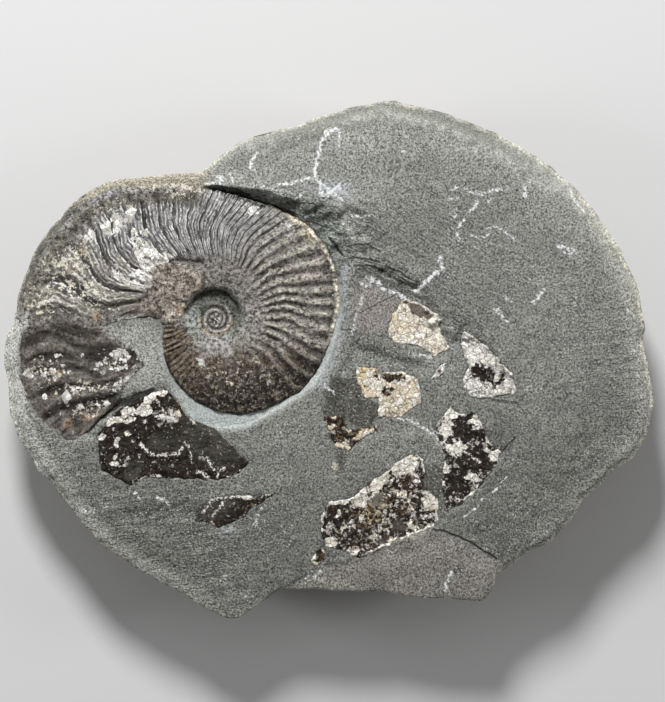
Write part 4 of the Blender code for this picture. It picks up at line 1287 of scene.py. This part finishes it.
def fossil_grid():
    """The index of the sheet's corners by ring and spoke, and the sheet."""
    degrees = COIL_START + np.arange(SPOKES) * 360 / SPOKES
    reach = within_slab(np.interp(degrees, *SHEET_REACH), degrees)
    rows_in = np.linspace(0.8, UMBILICUS, INNER_ROWS)[:, None] * np.ones(SPOKES)
    rows_out = UMBILICUS + (reach - UMBILICUS) * np.linspace(0, 1, OUTER_ROWS + 1)[1:, None]
    away = np.concatenate((rows_in, rows_out))
    degrees = np.broadcast_to(degrees, away.shape)
    corners = (away, degrees, np.interp(degrees, *RIB_COUNT), *sheet_place(away, degrees))
    return np.arange(away.size).reshape(away.shape), Sheet(*(part.ravel() for part in corners))


def build_fossil():
    index, sheet = fossil_grid()
    col, row = sheet.col, sheet.row
    depth = depth_inside(*shaken(col, row, 1.2, 7, (43, 44)), FOSSIL_OUTLINE)
    rock = rock_face(col, row)
    height = sheet_height(sheet)
    thin = mix(rock + THIN_SHELL, height, rise(depth, 0, 8))
    height = mix(height, thin, thin_edge(col, row))
    height = np.where(depth > 0, height, rock - EDGE_DIP * np.minimum(-depth, 1))

    faces = np.concatenate([*map(ring_faces, index[1:], index[:-1])])
    places, faces = close_below(to_metres(col, row, height), faces, index[-1], SHEET_FLOOR)
    faces.append(index[0].tolist())
    marks = fossil_marks(sheet)
    make_piece("ammonite_shell", places, faces, marks, fossil_finish(), "ammonite")


# ---------------------------------------------------------------- the pieces of shell

# The grid's spacing and its margin round a piece, in steps.
PATCH_SPACING, PATCH_MARGIN = 0.85, 4.0
# Heights in mm: a piece over the rock, its roughness, and its hidden floor under its lowest place.
PATCH_RISE, PATCH_ROUGH, PATCH_SKIRT = 0.22, 0.12, 0.3
# For each piece of shell: how much is pale calcite, how pale its rim is, and how much is warm tan.
PATCH_LOOK = {
    "shell_patch_below_coil": (0.04, 0.15, 0.1), "shell_patch_cream_upper": (0.95, 1.0, 0.4),
    "shell_patch_cream_middle": (0.9, 0.9, 0.6), "shell_patch_white_right": (0.84, 0.9, 0.0),
    "shell_patch_brown_right": (0.3, 0.6, 0.1), "shell_patch_brown_middle": (0.28, 0.45, 0.6),
    "shell_patch_long_lower": (0.45, 0.85, 0.3), "shell_patch_lower_left": (0.15, 0.5, 0.2),
    "shell_chip_bottom": (0.25, 0.75, 0.4), "shell_chip_right": (0.75, 0.8, 0.0),
}
# Where the pieces of shell differ inside: a mark's value there, middle, radius, squash and turn.
PATCH_SPOTS = {
    "cream": (
        (0.22, 120, 450, 30, 1.0, 0), (0.5, 168, 416, 22, 0.6, 0), (0.0, 163, 401, 12, 0.8, 0),
        (1.15, 178, 413, 5, 0.8, 0), (1.2, 149, 399, 12, 0.7, -45), (1.2, 144, 410, 12, 0.7, 0),
        (1.2, 129, 412, 11, 0.6, -15), (1.15, 112, 420, 13, 0.5, -15), (1.15, 129, 420, 13, 0.3, -8),
        (1.15, 161, 392, 10, 0.5, -12), (1.2, 103, 436, 7, 0.6, -35), (1.2, 128, 434, 4, 1.0, 0),
        (1.2, 118, 438, 4, 0.8, 20), (1.2, 117, 444, 5, 0.8, 0), (1.2, 117, 456, 4, 1.0, 0),
        (1.15, 115, 464, 5, 0.8, 0), (1.15, 126, 466, 4, 0.8, -30), (1.1, 145, 424, 4.5, 1.3, 0),
        (0.0, 138, 427, 16, 0.3, -10), (0.34, 166, 463, 24, 0.34, 0), (0.12, 238, 460, 16, 0.6, 20),
        (0.02, 421, 309, 19, 0.55, 28), (0.3, 404, 300, 12, 0.6, 30), (1.15, 395, 330, 14, 1.0, 40),
        (0.1, 388, 374, 22, 0.45, 10), (0.3, 387, 391, 7, 1.2, 0), (1.2, 408, 397, 18, 0.9, 0),
        (0.8, 364, 381, 16, 1.0, 20), (0.5, 398, 366, 10, 0.5, 15), (1.2, 472, 350, 24, 0.55, 55),
        (0.48, 489, 377, 27, 0.6, 22), (0.2, 479, 369, 14, 0.6, 15), (1.2, 473, 389, 12, 0.8, 40),
        (1.2, 505, 390, 13, 0.5, -15), (1.15, 495, 378, 4, 1.0, 0), (1.15, 450, 413, 10, 0.8, -50),
        (1.1, 446, 429, 13, 0.8, 80), (0.0, 464, 434, 10, 0.9, 20), (0.75, 475, 423, 13, 0.7, 0),
        (0.95, 455, 448, 14, 0.6, 0), (0.0, 474, 463, 17, 0.4, 0), (1.15, 495, 455, 10, 0.6, -30),
        (1.2, 468, 477, 5, 0.9, 0), (1.2, 476, 477, 4, 1.0, 0), (0.0, 453, 485, 13, 0.9, 0),
        (1.15, 443, 468, 5, 1.2, 0), (0.3, 456, 500, 12, 0.8, 0), (0.7, 486, 446, 10, 0.5, 20),
        (1.2, 341, 502, 10, 0.5, -5), (1.05, 360, 499, 14, 0.5, -40), (1.2, 378, 482, 13, 0.7, -50),
        (1.05, 404, 464, 19, 0.6, -30), (0.0, 338, 514, 14, 0.9, 20), (1.2, 339, 513, 5, 0.8, 0),
        (0.0, 400, 482, 12, 0.5, -20), (0.95, 431, 503, 12, 0.9, 0), (0.0, 427, 520, 10, 0.4, 0),
        (1.15, 331, 541, 10, 0.6, 40), (0.0, 222, 520, 14, 0.4, -15), (0.9, 248, 496, 6, 0.5, 0),
        (0.0, 338, 422, 14, 0.5, 10), (0.85, 365, 433, 14, 0.45, -25), (1.15, 342, 447, 10, 0.5, 25),
        (1.2, 333, 427, 4.5, 1.0, 0),
    ),
    "tan": (
        (0.4, 173, 416, 14, 0.8, 0), (1.0, 421, 309, 19, 0.55, 28), (0.7, 398, 322, 16, 0.8, 40),
        (1.0, 364, 381, 22, 1.2, 20), (0.9, 372, 512, 34, 0.5, -29), (1.0, 250, 508, 9, 0.7, 0),
        (1.0, 363, 433, 16, 0.6, -25),
    ),
    "film": (
        (1.0, 166, 441, 25, 0.55, 0), (1.0, 134, 468, 18, 0.6, -45), (1.0, 211, 441, 50, 0.6, 30),
        (0.0, 166, 464, 20, 0.3, 0), (1.0, 421, 309, 19, 0.55, 28), (0.9, 377, 500, 10, 0.9, 0),
        (0.9, 431, 482, 18, 0.6, 80), (0.9, 383, 539, 10, 0.6, -30), (0.9, 399, 525, 9, 0.8, 0),
        (1.0, 214, 506, 32, 0.5, -20),
    ),
    "fleck": ((0.6, 120, 448, 32, 1.0, 0),),
}


def patch_marks(name, col, row, depth):
    """How much of the shell is pale calcite, tan, smooth film and white flecks, and its veins."""
    base, rim, tan = PATCH_LOOK[name]
    wavy = shaken(col, row, 3, 10, (85, 87), 3)
    marks = {}
    for mark, start in {"cream": base, "tan": tan, "film": 0.0, "fleck": 0.3}.items():
        marks[mark] = np.full(col.shape, start)
        for value, x, y, radius, squash, turn in PATCH_SPOTS[mark]:
            share = rise(spot(*wavy, (x, y), radius, squash, turn), 0, 0.95)
            marks[mark] = mix(marks[mark], value, share)
    edge = fall(depth, 1.2, 3.6) * rise(noise(col, row, 16, 89), -0.9, 0.2)
    marks["cream"] = np.maximum(marks["cream"], rim * edge * (1 - 0.7 * marks["film"]))
    marks["vein"], marks["vein_whole"] = vein_marks(col, row, SHELL_VEINS)
    return marks


def build_patch(name, finish):
    outline = PATCH_OUTLINES[name]
    low, high = outline.min(axis=0) - PATCH_MARGIN, outline.max(axis=0) + PATCH_MARGIN
    counts = np.ceil((high - low) / PATCH_SPACING).astype(int)
    across, down = np.meshgrid(*map(np.linspace, low, high, counts))
    index = np.arange(across.size).reshape(across.shape)
    col, row = across.ravel(), down.ravel()
    depth = depth_inside(*shaken(col, row, 1.6, 9, (81, 84), 3), outline)
    marks = patch_marks(name, col, row, depth)
    rock = rock_face(col, row)
    top = rock + PATCH_RISE + PATCH_ROUGH * rough_noise(col, row, 7, 83) * (1 - 0.7 * marks["film"])
    inside = mix(rock, top, rise(depth, -1, 1.5))
    height = np.where(depth > 0, inside, rock - np.minimum(-depth, EDGE_DIP))
    floor = height.min() - PATCH_SKIRT
    places, faces = close_below(to_metres(col, row, height), grid_faces(index), grid_rim(index), floor)
    make_piece(name.replace("shell_", "calcite_"), places, faces, marks, finish, name)


# ---------------------------------------------------------------- finishes

class Value:
    """A number or colour that varies over a finish; plus, minus and times make a new one."""

    def __init__(self, finish, socket):
        self.finish, self.socket = finish, socket

    def __add__(self, other):
        return self.finish.maths("ADD", self, other)

    def __sub__(self, other):
        return self.finish.maths("SUBTRACT", self, other)

    def __rsub__(self, other):
        return self.finish.maths("SUBTRACT", other, self)

    def __mul__(self, other):
        return self.finish.maths("MULTIPLY", self, other)

    def __abs__(self):
        return self.finish.maths("ABSOLUTE", self)

    def ramp(self, start, end, low=0.0, high=1.0):
        """The value carried smoothly from start..end to low..high."""
        inputs = {"Value": self, "From Min": start, "From Max": end, "To Min": low, "To Max": high}
        return self.finish.node("MapRange", "Result", inputs, interpolation_type="SMOOTHSTEP")

    def grey(self):
        """A grey as bright as the number."""
        return self.finish.node("CombineColor", 0, {0: self, 1: self, 2: self})

    def channel(self, number):
        """One of a colour's three numbers."""
        return self.finish.node("SeparateColor", number, {0: self})


class Finish:
    """A material, with short calls for the nodes that its look is made of."""

    def __init__(self, name, roughness, specular):
        self.material = bpy.data.materials.new(name)
        self.material.use_nodes = True
        self.tree = self.material.node_tree
        self.shader = self.tree.nodes["Principled BSDF"]
        self.shader.inputs["Roughness"].default_value = roughness
        self.shader.inputs["Specular IOR Level"].default_value = specular
        self.place = self.node("TexCoord", "Object", {})

    def feed(self, socket, value):
        if isinstance(value, Value):
            self.tree.links.new(value.socket, socket)
        elif isinstance(value, np.ndarray):
            socket.default_value = (*value, 1.0)
        else:
            socket.default_value = value

    def node(self, kind, output, inputs, **settings):
        """One output of a new node."""
        node = self.tree.nodes.new("ShaderNode" + kind)
        for setting, value in settings.items():
            setattr(node, setting, value)
        for key, value in inputs.items():
            self.feed(node.inputs[key], value)
        return Value(self, node.outputs[output])

    def mark(self, name, output="Fac"):
        return self.node("Attribute", output, {}, attribute_name=name)

    def maths(self, operation, first, second=0.0):
        return self.node("Math", 0, {0: first, 1: second}, operation=operation)

    def blend(self, share, first, second, kind="MIX"):
        return self.node("Mix", 2, {0: share, 6: first, 7: second}, data_type="RGBA", blend_type=kind)

    def noise(self, size_mm, detail=3.0, rough=0.55, place=None):
        inputs = {"Scale": 1000 / size_mm, "Detail": detail, "Roughness": rough}
        return self.node("TexNoise", "Fac", {**inputs, "Vector": place or self.place})

    def cells(self, size_mm, place):
        """A colour for every cell of a broken pattern, and the distance to the nearest edge."""
        inputs = {"Scale": 1000 / size_mm, "Vector": place}
        return (self.node("TexVoronoi", "Color", inputs),
                self.node("TexVoronoi", "Distance", inputs, feature="DISTANCE_TO_EDGE"))

    def warped(self, size_mm, amount_mm):
        """The object's coordinates, pushed about by noise."""
        push = self.node("TexNoise", "Color", {"Scale": 1000 / size_mm, "Vector": self.place})
        inputs = {0: push, 1: (amount_mm * MM,) * 3, 2: self.place}
        return self.node("VectorMath", 0, inputs, operation="MULTIPLY_ADD")

    def drawn_out(self, degrees, length):
        """The object's coordinates, stretched so that a texture runs along a direction."""
        turn = (0, 0, math.radians(degrees))
        inputs = {"Rotation": turn, "Scale": (length, 1, 1), "Vector": self.place}
        return self.node("Mapping", 0, inputs, vector_type="TEXTURE")

    def veins(self, size_mm):
        """1 on the ragged white lines that the marks lay out."""
        spread = self.noise(size_mm, 4, 0.8).ramp(0.36, 0.64, -0.9, 2.9)
        return (self.mark("vein") + spread - self.mark("vein_whole") * 2.0).ramp(0.25, -0.25)

    def finish(self, colour, rough, height, depth_mm):
        """The material with its colour, roughness and bump put on the shader."""
        bump = {"Distance": depth_mm * MM, "Strength": 1.0, "Height": height}
        self.feed(self.shader.inputs["Base Color"], colour)
        self.feed(self.shader.inputs["Roughness"], rough)
        self.feed(self.shader.inputs["Normal"], self.node("Bump", "Normal", bump))
        return self.material


def rock_finish():
    rock = Finish("grey_limestone", 0.85, 0.2)
    grain = rock.noise(0.62, 3, 1.0)
    mottle = rock.noise(3.2, 4, 0.7)
    brushed = rock.noise(1.6, 4, 0.8, rock.drawn_out(7, 4.5)).ramp(0.3, 0.7, -1, 1)
    scored = rock.noise(1.2, 4, 0.8, rock.drawn_out(-33, 5)).ramp(0.3, 0.7, -1, 1)
    streaks = brushed * rock.mark("level_streaks") + scored * rock.mark("slant_streaks")
    coarse = rock.mark("calm") * -0.55 + 1.0
    crease = rock.noise(2.4, 3, 0.6, rock.drawn_out(-24, 3.2)) - 0.5
    facets = abs(crease).ramp(0.0, 0.1)
    hackly = rock.mark("hackly")

    shade = (grain.ramp(0.37, 0.63, -0.84, 1.0) * coarse + 1.0) * mottle.ramp(0.3, 0.7, 0.92, 1.08)
    # On hackly rock the creases between facets get painted shade and the facets a painted highlight.
    shade = shade * (streaks * 0.17 + 1.0) * (facets.ramp(0, 1, -0.3, 0.18) * hackly + 1.0)
    colour = rock.blend(1.0, rock.mark("paint", "Color"), shade.grey(), "MULTIPLY")
    flecks = rock.noise(0.55, 1, 0.5).ramp(0.62, 0.69)
    sparse = rock.noise(11, 3, 0.6).ramp(0.4, 0.62, 0.35, 0.95)
    colour = rock.blend(flecks * sparse, colour, tone(196, 197, 192))
    # Dark lines: real cracks, and painted shadow at the cliff's foot and under the scarp's ledges.
    ragged = abs(rock.mark("dark_line")) + mottle.ramp(0.3, 0.7, -0.3, 0.5)
    dark_line = ragged.ramp(1.5, 0.6) * rock.mark("dark_line_darkness")
    colour = rock.blend(dark_line, colour, tone(22, 23, 22))
    colour = rock.blend(rock.veins(0.9), colour, tone(234, 236, 236))

    height = streaks * 0.5 + rock.noise(2.2, 3) + grain * coarse + facets * hackly * 1.6 + dark_line * -2.0
    return rock.finish(colour, mottle.ramp(0.3, 0.7, 0.78, 0.92), height, 0.3)


# Fine lines within each rib, the pale ones painted highlights on fine riblets and the black ones painted
# shade in the grooves between them: where in the rib's count, half width and strength.
RIB_HIGHLIGHT_LINES = ((0.15, 0.055, 1.0), (0.36, 0.035, 0.8), (0.60, 0.045, 0.95), (0.84, 0.035, 0.8))
RIB_SHADE_LINES = ((0.03, 0.1, 0.95), (0.48, 0.05, 0.75), (0.72, 0.05, 0.75))


def fossil_finish():
    shell = Finish("fossil_shell", 0.55, 0.25)
    grain = shell.noise(1.1, 4, 1.0)
    fine = shell.mark("fine_ribs")
    calm = shell.maths("MAXIMUM", fine, shell.mark("smooth"))
    shade = grain.ramp(0.39, 0.61, calm * 0.4 + 0.05, calm * -0.9 + 2.5)
    colour = shell.blend(1.0, shell.mark("paint", "Color"), shade.grey(), "MULTIPLY")

    wobble = shell.noise(3.0, 2).ramp(0.3, 0.7, -0.06, 0.06)
    count = shell.maths("FRACT", shell.mark("rib_count") + wobble)
    broken = shell.noise(1.6, 3, 0.7).ramp(0.44, 0.56)
    # Painted highlights on the fine riblets, then painted shade in their grooves.
    for middle, width, power in RIB_HIGHLIGHT_LINES:
        line = abs(count - middle).ramp(width, width * 0.3) * (fine * power)
        colour = shell.blend(line * broken, colour, tone(240, 240, 238))
    for middle, width, power in RIB_SHADE_LINES:
        line = abs(count - middle).ramp(width, width * 0.4) * (fine * power)
        colour = shell.blend(line, colour, tone(44, 40, 38))

    grit = shell.noise(0.9, 2, 0.7).ramp(0.56, 0.63) * shell.mark("grit")
    colour = shell.blend(grit, colour, tone(158, 146, 128))
    zone = shell.mark("fleck")
    curls = shell.noise(1.3, 4, 0.75, shell.warped(1.6, 1.3))
    flecks = (curls - (zone * -0.1 + 0.64)).ramp(-0.01, 0.03) * zone.ramp(0.0, 0.3)
    colour = shell.blend(flecks, colour, tone(224, 218, 200))

    block, edge = shell.cells(1.35, shell.warped(1.4, 1.1))
    bright = shell.blend(block.channel(1), tone(250, 249, 246), tone(182, 177, 166))
    pale = shell.blend(edge.ramp(0.06, 0.01), bright, tone(96, 90, 82))
    chance = block.channel(0) * 0.75 + shell.noise(1.0, 3, 0.7).ramp(0.3, 0.7, 0.0, 0.35)
    present = (shell.mark("calcite") - chance).ramp(-0.02, 0.03)
    colour = shell.blend(present, colour, pale)

    height = (grain + shell.noise(2.6, 3) * 0.7) * (calm * -0.6 + 1.0)
    return shell.finish(colour, grain.ramp(0.3, 0.7, 0.68, 0.42), height, 0.55)


def patch_finish():
    shell = Finish("crazed_calcite", 0.55, 0.15)
    place = shell.warped(1.3, 1.3)
    big, big_edge = shell.cells(2.1, place)
    small, small_edge = shell.cells(0.9, place)
    grain = shell.noise(1.0, 4, 0.95)
    tan, film = shell.mark("tan"), shell.mark("film")
    chance = big.channel(0) * 0.4 + small.channel(0) * 0.36 + grain.ramp(0.4, 0.6, 0.0, 0.28)
    pale = (shell.mark("cream") - chance).ramp(-0.02, 0.03) * (1.0 - film)
    speckle = grain.ramp(0.38, 0.62, 0.62, 1.3).grey()

    white = shell.blend(small.channel(1), tone(255, 254, 249), tone(222, 217, 206))
    warm = shell.blend(small.channel(1), tone(252, 240, 212), tone(204, 178, 132))
    bright = shell.blend(tan * big.channel(2).ramp(0.05, 0.6), white, warm)
    bright = shell.blend(1.0, bright, speckle, "MULTIPLY")
    stain = shell.noise(2.2, 4, 0.8).ramp(0.52, 0.62, 0.0, 0.5)
    bright = shell.blend(stain, bright, tone(132, 114, 90))
    bright = shell.blend(small_edge.ramp(0.07, 0.01, 0.0, 0.5), bright, tone(106, 92, 74))
    gap = shell.blend(tan, tone(34, 29, 25), tone(96, 78, 56))
    bright = shell.blend(big_edge.ramp(0.055, 0.012, 0.0, 0.7), bright, gap)

    dark = shell.blend(shell.noise(1.3, 4, 0.9).ramp(0.42, 0.62), tone(12, 10, 9), tone(54, 45, 38))
    ochre = shell.noise(1.1, 3, 0.7).ramp(0.54, 0.6) * tan
    dark = shell.blend(ochre, dark, tone(124, 98, 68))
    smooth = shell.blend(shell.noise(4, 3).ramp(0.35, 0.65), tone(38, 37, 31), tone(60, 58, 50))
    smooth = shell.blend(tan, smooth, tone(112, 106, 96))
    dark = shell.blend(film, dark, shell.blend(1.0, smooth, speckle, "MULTIPLY"))

    colour = shell.blend(pale, dark, bright)
    specks = shell.noise(0.95, 2, 0.6).ramp(0.63, 0.67) * shell.mark("fleck")
    colour = shell.blend(specks, colour, tone(230, 227, 218))
    colour = shell.blend(shell.veins(0.7), colour, tone(226, 222, 212))
    height = big_edge.ramp(0.0, 0.1) * 0.5 + pale * 0.6 + grain * 0.8
    return shell.finish(colour, film.ramp(0.0, 1.0, 0.6, 0.42), height, 0.22)


# ---------------------------------------------------------------- stage, light and camera

FLOOR_GREY = np.full(3, 0.62)
WORLD_STRENGTH = 0.17
# Round lamps that point at the slab's middle: name, place, width and power.
LAMPS = (
    ("key", (-0.16, 0.85, 0.75), 0.28, 15.5),
    ("left", (-0.85, 0.05, 0.35), 0.30, 2.0),
    ("right", (0.85, 0.05, 0.35), 0.30, 2.0),
)
LAMP_TARGET = Vector((0, 0, 0.02))
# The camera looks straight down: the rows it shows, the plan point in its middle, its distance
# from the face, the face's height and the width of its sensor in mm.
VIEW_ROWS, VIEW_MIDDLE = 702, (332.5, 351)
VIEW_DISTANCE, VIEW_FACE, SENSOR_WIDTH = 1.3, 0.0245, 36


def build_stage():
    bpy.ops.mesh.primitive_plane_add(size=4.0, location=(0, 0, 0))
    floor = bpy.context.object
    floor.name = "floor"
    paint = Finish("pale_floor", 0.9, 0.3)
    paint.feed(paint.shader.inputs["Base Color"], FLOOR_GREY)
    floor.data.materials.append(paint.material)


def build_light():
    world = bpy.data.worlds.new("studio")
    world.use_nodes = True
    background = world.node_tree.nodes["Background"]
    background.inputs[0].default_value = (1, 1, 1, 1)
    background.inputs[1].default_value = WORLD_STRENGTH
    bpy.context.scene.world = world
    for name, place, width, power in LAMPS:
        light = bpy.data.lights.new(name, "AREA")
        light.shape = "DISK"
        light.size = width
        light.energy = power
        lamp = bpy.data.objects.new(name, light)
        bpy.context.scene.collection.objects.link(lamp)
        lamp.location = place
        lamp.rotation_euler = (LAMP_TARGET - Vector(place)).to_track_quat("-Z", "Y").to_euler()


def build_camera():
    camera = bpy.data.cameras.new("camera")
    camera.sensor_width = SENSOR_WIDTH
    camera.lens = SENSOR_WIDTH * VIEW_DISTANCE / (VIEW_ROWS * STEP)
    camera.clip_start = 0.01
    view = bpy.data.objects.new("camera", camera)
    bpy.context.scene.collection.objects.link(view)
    x, y = (VIEW_MIDDLE[0] - PLAN_ORIGIN[0]) * STEP, (PLAN_ORIGIN[1] - VIEW_MIDDLE[1]) * STEP
    view.location = (x, y, VIEW_FACE + VIEW_DISTANCE)
    bpy.context.scene.camera = view


bpy.context.scene.view_settings.view_transform = "Standard"
build_rock()
build_fossil()
calcite = patch_finish()
for patch in PATCH_OUTLINES:
    build_patch(patch, calcite)
build_stage()
build_light()
build_camera()
